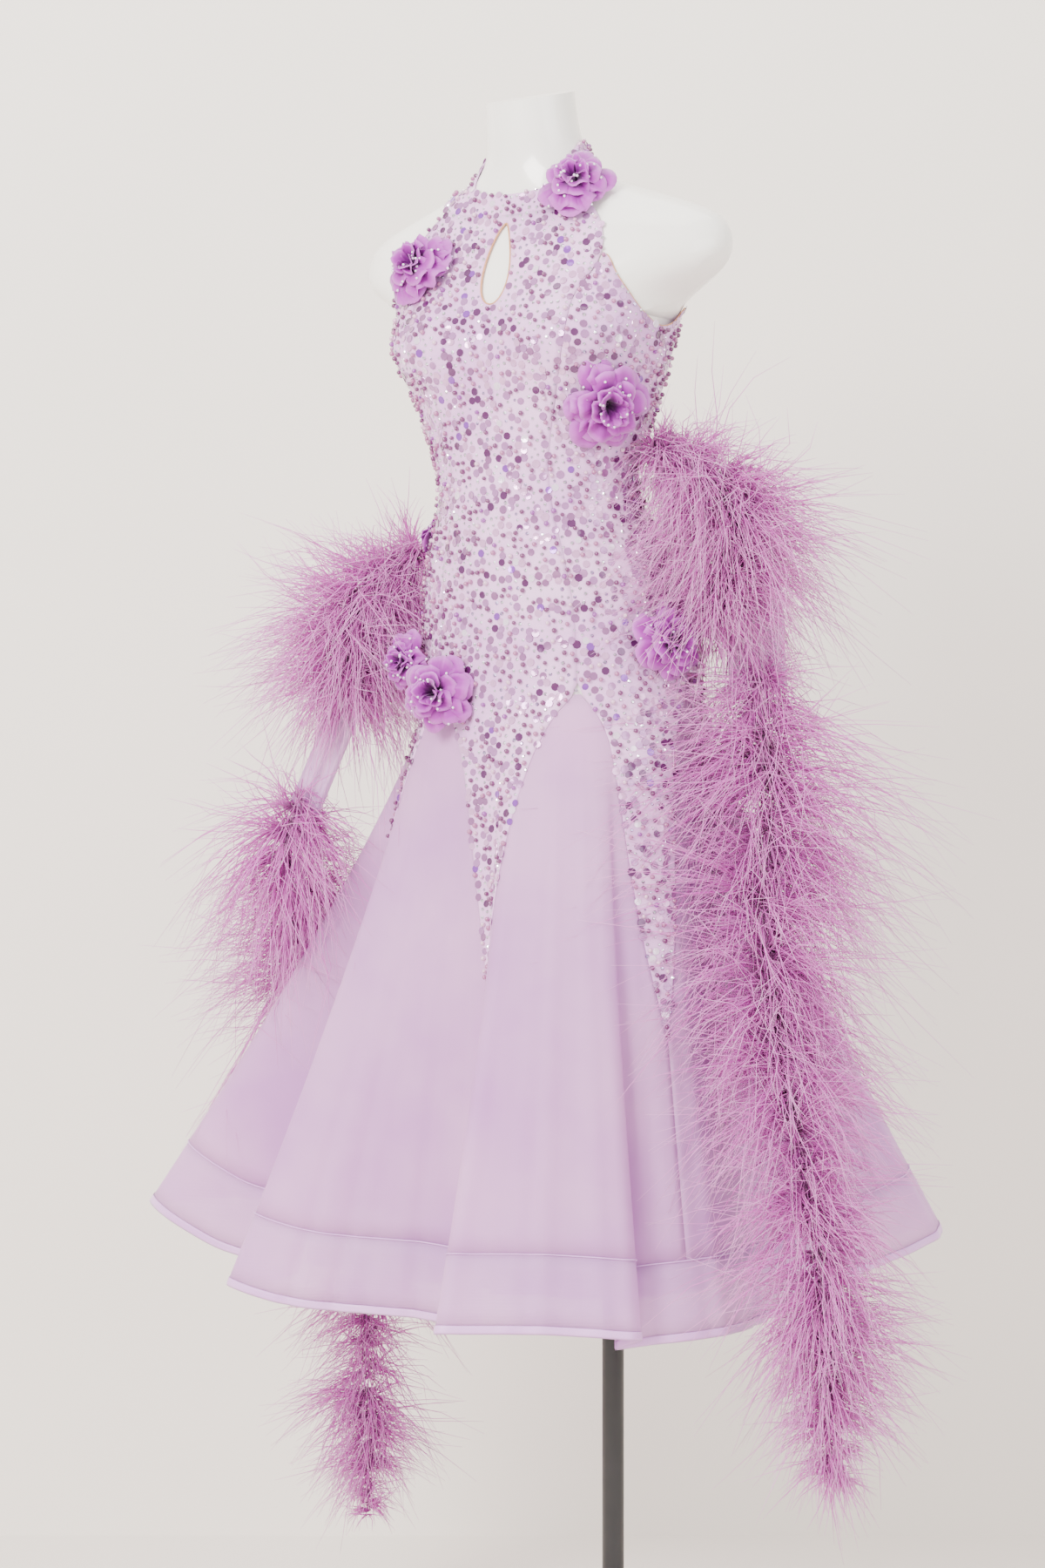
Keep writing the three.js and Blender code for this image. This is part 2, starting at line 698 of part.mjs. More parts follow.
// A hanging strip of chiffon between two boas, gathered into two soft folds
function floatStrip(strip, grow = 0) {
  const start = new THREE.Vector3(strip.start.x, strip.start.y, strip.start.z);
  const end = new THREE.Vector3(strip.end.x, strip.end.y, strip.end.z);
  const way = end.clone().sub(start).normalize();
  const across = new THREE.Vector3(Math.cos(radians(LOOK)), Math.sin(radians(LOOK)), 0);
  across.addScaledVector(way, -across.dot(way)).normalize();
  const out = across.clone().cross(way).normalize();
  const face = (depth) => (share, down) => {
    const wave = 5 * Math.sin(share * 4 * Math.PI);
    const place = start.clone().lerp(end, down);
    place.addScaledVector(across, (2 * share - 1) * (strip.half + grow));
    place.addScaledVector(out, wave + depth);
    return place;
  };
  return wall(8, 3, face(CLOTH + grow), face(-grow));
}

// The stand
function lathe(profile, sides) {
  const geometry = new THREE.LatheGeometry(
    profile.map(([radius, z]) => new THREE.Vector2(radius, z)),
    sides,
  );
  geometry.rotateX(Math.PI / 2);
  return geometry;
}

function makeStand() {
  const bore = POLE_RADIUS + 0.4;
  const poleFoot = BASE.thick + 4;
  const socketFoot = FORM_FOOT_Z - 42;
  const poleTop = FORM_FOOT_Z - 14;
  const plate = lathe(
    [
      [0, 0],
      [BASE.radius, 0],
      [BASE.radius, BASE.thick - 3],
      [BASE.radius - 4, BASE.thick],
      [0, BASE.thick],
    ],
    64,
  );
  plate.translate(0, BASE.y, 0);
  addPiece('stand_base', plate, BLACK_STEEL);
  const boss = lathe(
    [
      [0, BASE.thick + 0.3],
      [BASE.boss, BASE.thick + 0.3],
      [BASE.boss - 3, BASE.bossTop],
      [bore, BASE.bossTop],
      [bore, poleFoot - 0.4],
      [0, poleFoot - 0.4],
    ],
    32,
  );
  addPiece('stand_boss', boss, BLACK_STEEL);
  const pole = lathe(
    [
      [0, poleFoot],
      [POLE_RADIUS, poleFoot],
      [POLE_RADIUS, poleTop - 0.5],
      [0, poleTop - 0.5],
    ],
    32,
  );
  addPiece('stand_pole', pole, BLACK_STEEL);
  const socket = lathe(
    [
      [bore, socketFoot],
      [19, socketFoot],
      [20, FORM_FOOT_Z - 6],
      [24, FORM_FOOT_Z - 0.4],
      [0, FORM_FOOT_Z - 0.4],
      [0, poleTop],
      [bore, poleTop],
      [bore, socketFoot],
    ],
    32,
  );
  addPiece('stand_socket', socket, BLACK_STEEL);
}

function makeDress() {
  addPiece('form_body', makeForm(), GLOSS_WHITE);
  for (const gore of GORES) {
    let geometry = makeGore(gore);
    if (gore.middle === 0) geometry = geometryOf(solid(geometry).subtract(solid(keyhole())));
    addPiece(gore.name, geometry, SHEATH);
  }
  addPiece('halter_collar', makeCollar(), SHEATH);
  addPiece('collar_hook', makeHook(), HOOK_STEEL);
  GODETS.forEach((name, index) => addPiece(`godet_${name}`, makeGodet(index), SHEER));
  const braidTop = HEM_Z + BRAID - SEAM;
  const bindingTop = HEM_Z + BINDING;
  GODETS.forEach((name, index) => {
    const left = GORES[(index + 1) % GORES.length].middle;
    const right = GORES[index].middle;
    const seams = { right, left: left < right ? left + 360 : left };
    const braid = skirtStrip(seams, [braidTop, bindingTop + SEAM], 0, CLOTH);
    addPiece(`hem_braid_${name}`, braid, BRAIDING);
    addPiece(`hem_binding_${name}`, skirtStrip(seams, [bindingTop, HEM_Z], -0.4, 2.2), RIBBON);
  });
  const underLevels = [1040, 900, 760, 640, HEM_Z + BRAID];
  for (const panel of UNDER_PANELS) {
    const cloth = skirtStrip(panel, underLevels, UNDER_INSET, UNDER_CLOTH, UNDER_HEM);
    addPiece(`underskirt_${panel.name}`, cloth, SHEER);
    const braid = skirtStrip(panel, [braidTop, HEM_Z], UNDER_INSET, UNDER_CLOTH, UNDER_HEM);
    addPiece(`underskirt_braid_${panel.name}`, braid, BRAIDING);
  }
}

function makeTrim() {
  for (const rose of ROSES) addPiece(rose.name, makeRose(rose), ROSE);
  const room = dressRoom(7);
  const roseRoom = (rose) => makeRose({ ...rose, radius: rose.radius + 4, high: rose.high + 3 });
  const taken = [room];
  taken.push(...FLOATS.map((strip) => solid(floatStrip(strip, 2))));
  taken.push(...ROSES.map((rose) => solid(roseRoom(rose))));
  for (const strip of FLOATS) addPiece(strip.name, floatStrip(strip), SHEER);
  for (const boa of BOAS) {
    const body = taken.reduce((left, keepOut) => left.subtract(keepOut), solid(plume(boa.line)));
    addPiece(boa.name, geometryOf(body), FEATHER);
  }
}

makeStand();
makeDress();
makeTrim();

export default dress;
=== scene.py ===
"""Looks for the ballroom dance dress on its plain torso form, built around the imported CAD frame.

Sizes in the tables are millimetres, as in the dress's pattern. Meshes are metres.
"""

import math

import bpy
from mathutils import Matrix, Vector
import numpy as np


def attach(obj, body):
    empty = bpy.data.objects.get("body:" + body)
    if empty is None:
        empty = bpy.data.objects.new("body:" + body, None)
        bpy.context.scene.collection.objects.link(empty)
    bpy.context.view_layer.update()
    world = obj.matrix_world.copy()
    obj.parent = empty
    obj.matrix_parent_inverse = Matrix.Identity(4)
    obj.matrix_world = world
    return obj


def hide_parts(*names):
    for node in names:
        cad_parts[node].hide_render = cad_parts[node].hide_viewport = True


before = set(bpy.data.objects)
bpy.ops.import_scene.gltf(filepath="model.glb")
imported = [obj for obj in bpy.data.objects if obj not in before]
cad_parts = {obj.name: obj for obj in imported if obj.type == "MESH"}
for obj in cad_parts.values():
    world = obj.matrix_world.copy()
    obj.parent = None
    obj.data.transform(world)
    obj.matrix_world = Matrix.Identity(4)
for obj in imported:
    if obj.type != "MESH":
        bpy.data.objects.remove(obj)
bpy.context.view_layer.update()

bl_info = {
    "name": "Ballroom dance dress",
    "version": (1, 0, 0),
    "blender": (4, 5, 0),
    "location": "View3D > Sidebar > Dress",
    "description": "Builds a ballroom dance dress with feather floats on a torso form",
    "category": "Mesh",
}

MM = 0.001
ROOT = "root"

CLOTH, EASE, SEAM = 1.4, 1.6, 0.08
HIP_Z, TIP_Z, HEM_Z = 1135, 768, 450
BRAID, BINDING = 84, 9
AXIS_Y, FLARE = -115, 1.18
TAPER = dict(even=0.56, power=10)
FORM_FOOT_Z, FORM_TOP_Z = 1000, 1815
MID_Z = 1250

# Where the camera stands: its turn from straight in front, and its place in metres
VIEW = math.radians(33)
CAMERA = dict(distance=4.0, aside=0.104, height=1.035, lens=80, sensor=36)

BUST = dict(angle=36, z=1518, lift=30, spread=27, above=60, below=42)
KEYHOLE = dict(top=1648, bottom=1556, half=19)
COLLAR = dict(back=1748, dip=66, high=24)
NECK_TOP = dict(z=1794, tilt=15, y=-177, above=1900)
# The slanted cut where an arm would join: a point on it, its slope and the reach of the wedge
SHOULDER_CUT = dict(x=190, y=-140, z=1573, tilt=41, inner=154, outer=400, foot=1480)

# The form's sections: height, middle, half width, depth to the front and to the back
BODY = np.array(
    [
        (985, -112, 148, 108, 126),
        (1060, -112, 160, 121, 134),
        (1155, -113, 162, 125, 132),
        (1225, -121, 156, 118, 122),
        (1275, -136, 144, 108, 110),
        (1320, -150, 125, 96, 97),
        (1370, -159, 114, 90, 90),
        (1410, -161, 123, 92, 93),
        (1450, -161, 139, 96, 99),
        (1490, -160, 152, 100, 104),
        (1525, -156, 160, 100, 106),
        (1560, -150, 173, 98, 104),
        (1600, -145, 226, 93, 96),
        (1632, -142, 232, 86, 84),
        (1655, -140, 212, 78, 74),
        (1680, -141, 150, 70, 64),
        (1700, -147, 92, 63, 57),
        (1722, -157, 63, 55, 54),
        (1750, -167, 53, 51, 53),
        (1815, -179, 48, 50, 52),
    ],
    float,
)

# The hem's folds: the angle the cloth leaves the hip at, then angle, reach and height at the hem
HEM = np.array(
    [
        (-180, -180, 262, 452),
        (-170, -171, 318, 462),
        (-157, -157, 402, 486),
        (-145, -146, 425, 494),
        (-134, -137, 388, 482),
        (-124, -128, 290, 455),
        (-116, -117, 300, 458),
        (-108, -109, 420, 505),
        (-98, -100, 497, 530),
        (-88, -87, 500, 538),
        (-80, -75, 497, 545),
        (-73, -72, 405, 500),
        (-66, -72, 312, 480),
        (-59, -63, 325, 474),
        (-50, -54, 372, 478),
        (-40, -47, 318, 462),
        (-30, -43, 258, 454),
        (-18, -27, 192, 452),
        (-8, -6, 170, 447),
        (0, 6, 192, 446),
        (6, 3, 245, 452),
        (12, 5, 280, 457),
        (20, 18, 262, 458),
        (29, 33, 249, 456),
        (38, 49, 252, 450),
        (43, 54, 238, 446),
        (48, 49, 200, 432),
        (56, 60, 214, 437),
        (66, 76, 246, 444),
        (78, 96, 242, 446),
        (88, 109, 230, 446),
        (96, 119, 203, 438),
        (104, 128, 248, 436),
        (112, 131, 350, 480),
        (120, 133, 434, 512),
        (128, 138, 456, 521),
        (138, 147, 436, 508),
        (148, 153, 345, 474),
        (157, 160, 268, 454),
        (168, 169, 300, 458),
    ],
    float,
)

# The underskirt's hem, inside the outer one
UNDER_HEM = np.array(
    [
        (-180, -180, 236, 492),
        (-157, -157, 330, 504),
        (-143, -143, 340, 508),
        (-121, -121, 252, 496),
        (-100, -98, 380, 530),
        (-84, -84, 372, 528),
        (-68, -66, 272, 500),
        (-50, -53, 290, 502),
        (-30, -34, 190, 490),
        (-8, -8, 142, 486),
        (12, 10, 200, 490),
        (28, 28, 208, 492),
        (48, 44, 160, 480),
        (66, 70, 192, 484),
        (86, 94, 196, 486),
        (100, 116, 172, 482),
        (116, 136, 300, 508),
        (132, 145, 318, 512),
        (152, 157, 226, 494),
        (166, 168, 240, 492),
    ],
    float,
)

# Gores: node, the seam to the right, the middle and the seam to the left, as angles
GORES = [
    ("front_panel", -33, 0, 33),
    ("side_front_panel_left", 33, 62, 90),
    ("side_back_panel_left", 90, 116, 145),
    ("back_panel", 145, 180, 215),
    ("side_back_panel_right", 215, 244, 270),
    ("side_front_panel_right", 270, 298, 327),
]
UNDER_PANELS = ["back_right", "front_right", "front_left", "back_left"]
GODETS = ["front_left", "side_left", "back_left", "back_right", "side_right", "front_right"]
# The top edge of the other panels: angle from the front and height
TOP_EDGE = np.array(
    [(33, 1606), (41, 1584), (54, 1562), (68, 1541), (82, 1531), (97, 1538), (110, 1556), (120, 1548)]
    + [(134, 1470), (150, 1372), (166, 1318), (180, 1306)],
    float,
)
# The front panel's side edge above the bust: height and angle
HALTER_EDGE = np.array(
    [(1250, 32.9), (1450, 32.9), (1560, 32.6), (1606, 31.6), (1640, 30), (1665, 31), (1690, 36)], float
)

# Roses: name, angle, height, radius, how high it stands, how far off, and its turn to the front
ROSES = [
    ("rose_collar", 34, 1684, 42, 26, 10, 0),
    ("rose_chest", -26, 1604, 46, 30, 10, 0),
    ("rose_ribs", 58, 1447, 52, 32, 9, 0),
    ("rose_hip_right_large", -24, 1134, 45, 32, 24, 26),
    ("rose_hip_right_small", -50, 1172, 34, 26, 24, 30),
    ("rose_hip_left", 74, 1190, 45, 32, 9, 0),
    ("rose_waist_right", -96, 1312, 38, 28, 9, 0),
    ("rose_hip_back", 150, 1210, 42, 30, 9, 0),
]

# Boas: rows of x, y, z and reach
BOAS = {
    "boa_left_top": [
        (140, -150, 1402, 40),
        (181, -124, 1380, 92),
        (214, -102, 1338, 122),
        (213, -98, 1275, 114),
        (188, -114, 1206, 70),
    ],
    "boa_left_fall": [
        (236, -78, 1162, 70),
        (244, -84, 1090, 144),
        (254, -88, 1000, 152),
        (256, -108, 922, 146),
        (270, -123, 847, 134),
        (290, -140, 774, 122),
        (320, -158, 690, 110),
        (346, -166, 590, 102),
        (361, -165, 490, 96),
        (366, -162, 400, 84),
        (368, -160, 300, 34),
    ],
    "boa_right_top": [
        (-182, -118, 1302, 48),
        (-221, -140, 1278, 96),
        (-250, -158, 1236, 120),
        (-256, -162, 1176, 108),
        (-248, -158, 1126, 60),
    ],
    "boa_right_fall": [
        (-296, -194, 1030, 60),
        (-314, -202, 985, 124),
        (-350, -150, 900, 120),
        (-388, -66, 810, 104),
        (-412, 4, 700, 94),
        (-426, 64, 590, 90),
        (-426, 98, 480, 92),
        (-422, 106, 380, 96),
        (-420, 106, 290, 88),
        (-420, 106, 200, 66),
        (-420, 106, 128, 26),
    ],
}
BARBS = {"boa_left_top": 4100, "boa_left_fall": 6300, "boa_right_top": 3300, "boa_right_fall": 5300}
# How far the barbs may reach to the right and to the left
BARB_ROOM = (-535, 469)
FLOATS = {
    "float_left": ((212, -52, 1262), (222, -56, 1140), 32),
    "float_right": ((-250, -160, 1146), (-298, -192, 1006), 18),
}


# ---- Shape of the dress ----


def between(keys, values, at, period=0):
    """A smooth value between the rows of a table, as arrays."""
    keys, values = np.asarray(keys, float), np.asarray(values, float)
    if period:
        keys = np.concatenate([keys[-2:] - period, keys, keys[:2] + period])
        values = np.concatenate([values[-2:], values, values[:2]])
        at = np.mod(np.asarray(at, float) + 180, 360) - 180
    at = np.asarray(at, float)
    index = np.clip(np.searchsorted(keys, at, side="right") - 1, 0, len(keys) - 2)
    before, after = np.maximum(index - 1, 0), np.minimum(index + 2, len(keys) - 1)
    span = keys[index + 1] - keys[index]
    share = np.clip((at - keys[index]) / span, 0, 1)
    slope_a = (values[index + 1] - values[before]) / (keys[index + 1] - keys[before])
    slope_b = (values[after] - values[index]) / (keys[after] - keys[index])
    square, cube = share**2, share**3
    return (
        values[index] * (2 * cube - 3 * square + 1)
        + values[index + 1] * (3 * square - 2 * cube)
        + span * slope_a * (cube - 2 * square + share)
        + span * slope_b * (cube - square)
    )


def on_form(angle, z, out):
    """A point out from the torso form, at an angle from its front and a height."""
    side = np.mod(angle + 180, 360) - 180
    turn = np.radians(angle)
    across = (np.abs(side) - BUST["angle"]) / BUST["spread"]
    up = (z - BUST["z"]) / np.where(z > BUST["z"], BUST["above"], BUST["below"])
    swell = BUST["lift"] * np.exp(-(across**2) - up**2) + out
    front, back = between(BODY[:, 0], BODY[:, 3], z), between(BODY[:, 0], BODY[:, 4], z)
    depth = np.where(np.cos(turn) > 0, front, back) + swell
    half = between(BODY[:, 0], BODY[:, 2], z) + swell
    y = between(BODY[:, 0], BODY[:, 1], z) - depth * np.cos(turn)
    return np.stack([half * np.sin(turn), y, z + 0 * angle], -1)


def on_hem(table, angle):
    """A point of the hem, from its table of folds."""
    turn = np.radians(table[:, 1])
    x = np.sin(turn) * table[:, 2]
    y = AXIS_Y - np.cos(turn) * table[:, 2]
    return np.stack([between(table[:, 0], column, angle, 360) for column in (x, y, table[:, 3])], -1)


def on_dress(angle, level, table=HEM):
    """A point of the cloth's inner face. Level is the height down to the hip, and then runs on
    evenly to the nominal hem, while the point swings out to the hem's folds."""
    angle, level = np.broadcast_arrays(np.asarray(angle, float), np.asarray(level, float))
    above = on_form(angle, np.maximum(level, HIP_Z), EASE)
    fall = np.clip((HIP_Z - level) / (HIP_Z - HEM_Z), 0, 1.1)[..., None]
    hem = on_hem(table, angle)
    spread = fall**FLARE
    below = above * (1 - spread) + hem * spread
    below[..., 2] = (above * (1 - fall) + hem * fall)[..., 2]
    return np.where(level[..., None] >= HIP_Z, above, below)


def ripple(angle, level):
    """Soft narrow folds that radiate from the hip and grow towards the hem."""
    fall = np.clip((HIP_Z - level) / (HIP_Z - HEM_Z), 0, 1)
    turn = np.radians(angle)
    wave = 0.6 * np.sin(31 * turn + 0.8) + 0.4 * np.sin(53 * turn + 2.1) + 0.25 * np.sin(87 * turn)
    return 3.4 * fall**1.3 * wave


def off_dress(angle, level, out, table=HEM, rippled=False):
    """A point out from the cloth's inner face, along its normal."""
    angle, level = np.broadcast_arrays(np.asarray(angle, float), np.asarray(level, float))
    here = on_dress(angle, level, table)
    across = on_dress(angle + 0.2, level, table) - on_dress(angle - 0.2, level, table)
    along = on_dress(angle, level + 1, table) - on_dress(angle, level - 1, table)
    normal = np.cross(across, along)
    normal /= np.linalg.norm(normal, axis=-1, keepdims=True)
    if rippled:
        out = out + ripple(angle, level)
    return here + normal * np.asarray(out)[..., None]


def taper(level):
    """How much of its width a gore still has at a level under the hip."""
    share = np.clip((level - TIP_Z) / (HIP_Z - TIP_Z), 0, 1)
    return TAPER["even"] * share + (1 - TAPER["even"]) * share ** TAPER["power"]


def collar_top(angle):
    """The height of the collar's top edge, which dips in front."""
    facing = (1 + np.cos(np.radians(angle))) / 2
    return COLLAR["back"] - COLLAR["dip"] * facing**3


def top_edge(angle):
    """The height of the panels at the armholes and the low back."""
    side = np.abs(np.mod(angle + 180, 360) - 180)
    return between(TOP_EDGE[:, 0], TOP_EDGE[:, 1], side)


def seam_angle(angle, level):
    """Half the gap of a seam, as an angle."""
    reach = np.linalg.norm(on_dress(angle + 0.5, level) - on_dress(angle - 0.5, level), axis=-1)
    return SEAM / 2 / reach


# ---- Making meshes ----


def clear_selection():
    """Leaves edit mode and deselects everything."""
    if bpy.context.object and bpy.context.object.mode != "OBJECT":
        bpy.ops.object.mode_set(mode="OBJECT")
    bpy.ops.object.select_all(action="DESELECT")


def own(piece, name, material, node=None):
    """Names a finished piece, gives it its material and ties it to the frame."""
    piece.name = piece.data.name = name
    piece.data.materials.clear()
    piece.data.materials.append(material)
    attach(piece, ROOT)
    if node:
        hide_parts(*([node] if isinstance(node, str) else node))
    return piece


def set_points(mesh, points):
    """Moves the points of a mesh."""
    mesh.vertices.foreach_set("co", np.asarray(points, np.float32).ravel())
    mesh.update()


def apply_modifier(piece, kind, **settings):
    """Adds a modifier to a piece and applies it."""
    clear_selection()
    piece.select_set(True)
    bpy.context.view_layer.objects.active = piece
    modifier = piece.modifiers.new(kind.title(), kind)
    for key, value in settings.items():
        setattr(modifier, key, value)
    bpy.ops.object.modifier_apply(modifier=modifier.name)


def shade_smooth(piece):
    """Shades a whole piece smooth."""
    clear_selection()
    piece.select_set(True)
    bpy.context.view_layer.objects.active = piece
    bpy.ops.object.shade_smooth()


def sheet_grid(columns, rows, place, thick, ring=False):
    """A grid laid on a surface, given its wall. place takes shares from 0 to 1 across and up."""
    clear_selection()
    bpy.ops.mesh.primitive_grid_add(x_subdivisions=columns, y_subdivisions=rows, size=2)
    piece = bpy.context.object
    found = np.empty(len(piece.data.vertices) * 3, np.float32)
    piece.data.vertices.foreach_get("co", found)
    found = found.reshape(-1, 3)
    points = place((found[:, 0] + 1) / 2, (found[:, 1] + 1) / 2)
    set_points(piece.data, points * MM)
    if ring:
        bpy.ops.object.mode_set(mode="EDIT")
        bpy.ops.mesh.select_all(action="SELECT")
        bpy.ops.mesh.remove_doubles(threshold=0.00001)
        bpy.ops.object.mode_set(mode="OBJECT")
    apply_modifier(piece, "SOLIDIFY", thickness=thick * MM, offset=-1)
    shade_smooth(piece)
    return piece


def mesh_of(name, points, faces):
    """A new object from points and faces."""
    mesh = bpy.data.meshes.new(name)
    faces = faces.tolist() if isinstance(faces, np.ndarray) else faces
    mesh.from_pydata(np.asarray(points).tolist(), [], faces)
    piece = bpy.data.objects.new(name, mesh)
    bpy.context.scene.collection.objects.link(piece)
    return piece


def scattered(name, unit_points, unit_faces, places, ups, sizes, spins):
    """Many copies of one small closed shape as one mesh."""
    count, corners = len(places), len(unit_points)
    side = np.cross(ups, np.array([0.31, 0.17, 0.93]))
    side /= np.linalg.norm(side, axis=1, keepdims=True)
    other = np.cross(ups, side)
    x = side * np.cos(spins)[:, None] + other * np.sin(spins)[:, None]
    y = np.cross(ups, x)
    shaped = unit_points[None] * sizes[:, None]
    points = places[:, None] + (
        shaped[..., :1] * x[:, None] + shaped[..., 1:2] * y[:, None] + shaped[..., 2:] * ups[:, None]
    )
    shifts = (np.arange(count) * corners)[:, None, None]
    faces = (np.asarray(unit_faces)[None] + shifts).reshape(-1, len(unit_faces[0]))
    return mesh_of(name, points.reshape(-1, 3) * MM, faces)


# ---- Materials ----


def in_255(colour):
    """A colour from the panel, in parts from 0 to 255."""
    return [round(255 * part) for part in colour]


class Nodes:
    """A short way to write a node material."""

    def __init__(self, name):
        self.material = bpy.data.materials.new(name)
        self.material.use_nodes = True
        self.tree = self.material.node_tree
        self.tree.nodes.clear()
        self.end = self.add("ShaderNodeOutputMaterial")

    def add(self, kind, links=None, **settings):
        node = self.tree.nodes.new(kind)
        for key, value in settings.items():
            if hasattr(node, key) and key not in node.inputs:
                setattr(node, key, value)
            else:
                node.inputs[key].default_value = value
        for key, socket in (links or {}).items():
            self.tree.links.new(socket, node.inputs[key])
        return node

    def place(self, scale=1.0):
        coordinates = self.add("ShaderNodeTexCoord")
        mapping = self.add("ShaderNodeMapping", {"Vector": coordinates.outputs["Object"]})
        mapping.inputs["Scale"].default_value = (scale, scale, scale)
        return mapping.outputs["Vector"]

    def noise(self, scale, detail=3.0, roughness=0.55):
        found = self.add("ShaderNodeTexNoise", {"Vector": self.place()})
        found.inputs["Scale"].default_value = scale
        found.inputs["Detail"].default_value = detail
        found.inputs["Roughness"].default_value = roughness
        return found.outputs["Fac"]

    def ramp(self, value, *stops):
        found = self.add("ShaderNodeValToRGB", {"Fac": value})
        elements = found.color_ramp.elements
        while len(elements) < len(stops):
            elements.new(0.5)
        for element, (place, colour) in zip(elements, stops):
            element.position = place
            element.color = (*colour, 1)
        return found.outputs["Color"]

    def bump(self, height, strength, distance=0.001):
        found = self.add("ShaderNodeBump", {"Height": height})
        found.inputs["Strength"].default_value = strength
        found.inputs["Distance"].default_value = distance
        return found.outputs["Normal"]

    def principled(self, links=None, **settings):
        found = self.add("ShaderNodeBsdfPrincipled", links)
        for key, value in settings.items():
            found.inputs[key.replace("_", " ")].default_value = value
        return found

    def finish(self, shader):
        self.tree.links.new(shader, self.end.inputs["Surface"])
        return self.material


def linear(colour):
    """An sRGB colour from 0 to 255 as the linear numbers that shaders read."""
    share = np.asarray(colour, float) / 255
    return tuple(np.where(share <= 0.04045, share / 12.92, ((share + 0.055) / 1.055) ** 2.4))


def form_gloss():
    n = Nodes("form_gloss")
    tint = n.ramp(n.noise(6), (0.3, linear((243, 240, 233))), (0.7, linear((250, 248, 243))))
    normal = n.bump(n.noise(22, 2), 0.04, 0.002)
    shader = n.principled({"Base Color": tint, "Normal": normal}, Roughness=0.22)
    shader.inputs["Coat Weight"].default_value = 0.6
    shader.inputs["Coat Roughness"].default_value = 0.06
    return n.finish(shader.outputs[0])


def black_steel():
    n = Nodes("black_steel")
    grain = n.noise(900, 2)
    tint = n.ramp(n.noise(14), (0.3, (0.010, 0.010, 0.011)), (0.8, (0.022, 0.021, 0.022)))
    shader = n.principled({"Base Color": tint, "Normal": n.bump(grain, 0.15, 0.0003)}, Roughness=0.36)
    return n.finish(shader.outputs[0])


def bright_nickel():
    n = Nodes("bright_nickel")
    tint = n.ramp(n.noise(60), (0.3, (0.62, 0.62, 0.64)), (0.7, (0.78, 0.78, 0.79)))
    shader = n.principled({"Base Color": tint}, Roughness=0.22, Metallic=1.0)
    return n.finish(shader.outputs[0])


def sheath_cloth(settings):
    """Matt stretch velour, paler and deeper in soft random patches."""
    n = Nodes("sheath_cloth")
    pale, deep = linear(in_255(settings.cloth)), linear(in_255(settings.cloth_shade))
    tint = n.ramp(n.noise(9, 4), (0.32, deep), (0.62, pale))
    nap = n.noise(1500, 2)
    shader = n.principled({"Base Color": tint, "Normal": n.bump(nap, 0.35, 0.0004)}, Roughness=0.75)
    shader.inputs["Sheen Weight"].default_value = 0.35
    shader.inputs["Sheen Roughness"].default_value = 0.4
    return n.finish(shader.outputs[0])


def sheer(name, colour, shade, clear, ribs=0.0):
    """See-through cloth: some light goes straight through, the rest glows or scatters."""
    n = Nodes(name)
    tint = n.ramp(n.noise(7, 3), (0.3, linear(shade)), (0.66, linear(colour)))
    weave = n.noise(2200, 1)
    if ribs:
        wave = n.add("ShaderNodeTexWave", {"Vector": n.place()}, bands_direction="Z")
        wave.inputs["Scale"].default_value = ribs
        wave.inputs["Distortion"].default_value = 0.4
        weave = wave.outputs["Fac"]
    normal = n.bump(weave, 0.25, 0.0004)
    face = n.principled({"Base Color": tint, "Normal": normal}, Roughness=0.6)
    face.inputs["Sheen Weight"].default_value = 0.25
    glow = n.add("ShaderNodeBsdfTranslucent", {"Color": tint})
    cloth = n.add("ShaderNodeMixShader", {1: face.outputs[0], 2: glow.outputs[0]})
    cloth.inputs[0].default_value = 0.4
    facing = n.add("ShaderNodeLayerWeight")
    facing.inputs["Blend"].default_value = 0.35
    amount = n.add("ShaderNodeMapRange", {"Value": facing.outputs["Facing"]})
    amount.inputs["To Min"].default_value = clear
    amount.inputs["To Max"].default_value = clear * 0.25
    through = n.add("ShaderNodeBsdfTransparent")
    both = n.add("ShaderNodeMixShader", {0: amount.outputs[0], 1: cloth.outputs[0], 2: through.outputs[0]})
    return n.finish(both.outputs[0])


def satin_ribbon():
    """Smooth satin with a low shine."""
    n = Nodes("satin_ribbon")
    tint = n.ramp(n.noise(12), (0.3, linear((208, 148, 218))), (0.7, linear((220, 170, 228))))
    normal = n.bump(n.noise(1800, 1), 0.2, 0.0003)
    shader = n.principled({"Base Color": tint, "Normal": normal}, Roughness=0.38)
    shader.inputs["Sheen Weight"].default_value = 0.3
    return n.finish(shader.outputs[0])


def petal_cloth():
    """Satin petals with painted shade, dark deep in the folds and pale at the edges, by their own UV."""
    n = Nodes("petal_cloth")
    uv = n.add("ShaderNodeUVMap", uv_map="petal")
    parts = n.add("ShaderNodeSeparateXYZ", {"Vector": uv.outputs[0]})
    # painted shade: dark at the petal's root deep in the rose, pale at its rim
    tint = n.ramp(
        parts.outputs["Y"],
        (0.0, linear((88, 0, 96))),
        (0.4, linear((140, 8, 146))),
        (0.8, linear((178, 36, 182))),
        (1.0, linear((216, 112, 220))),
    )
    shader = n.principled({"Base Color": tint, "Normal": n.bump(n.noise(700, 3), 0.3, 0.0005)}, Roughness=0.5)
    shader.inputs["Sheen Weight"].default_value = 0.4
    glow = n.add("ShaderNodeBsdfTranslucent", {"Color": tint})
    both = n.add("ShaderNodeMixShader", {1: shader.outputs[0], 2: glow.outputs[0]})
    both.inputs[0].default_value = 0.25
    return n.finish(both.outputs[0])


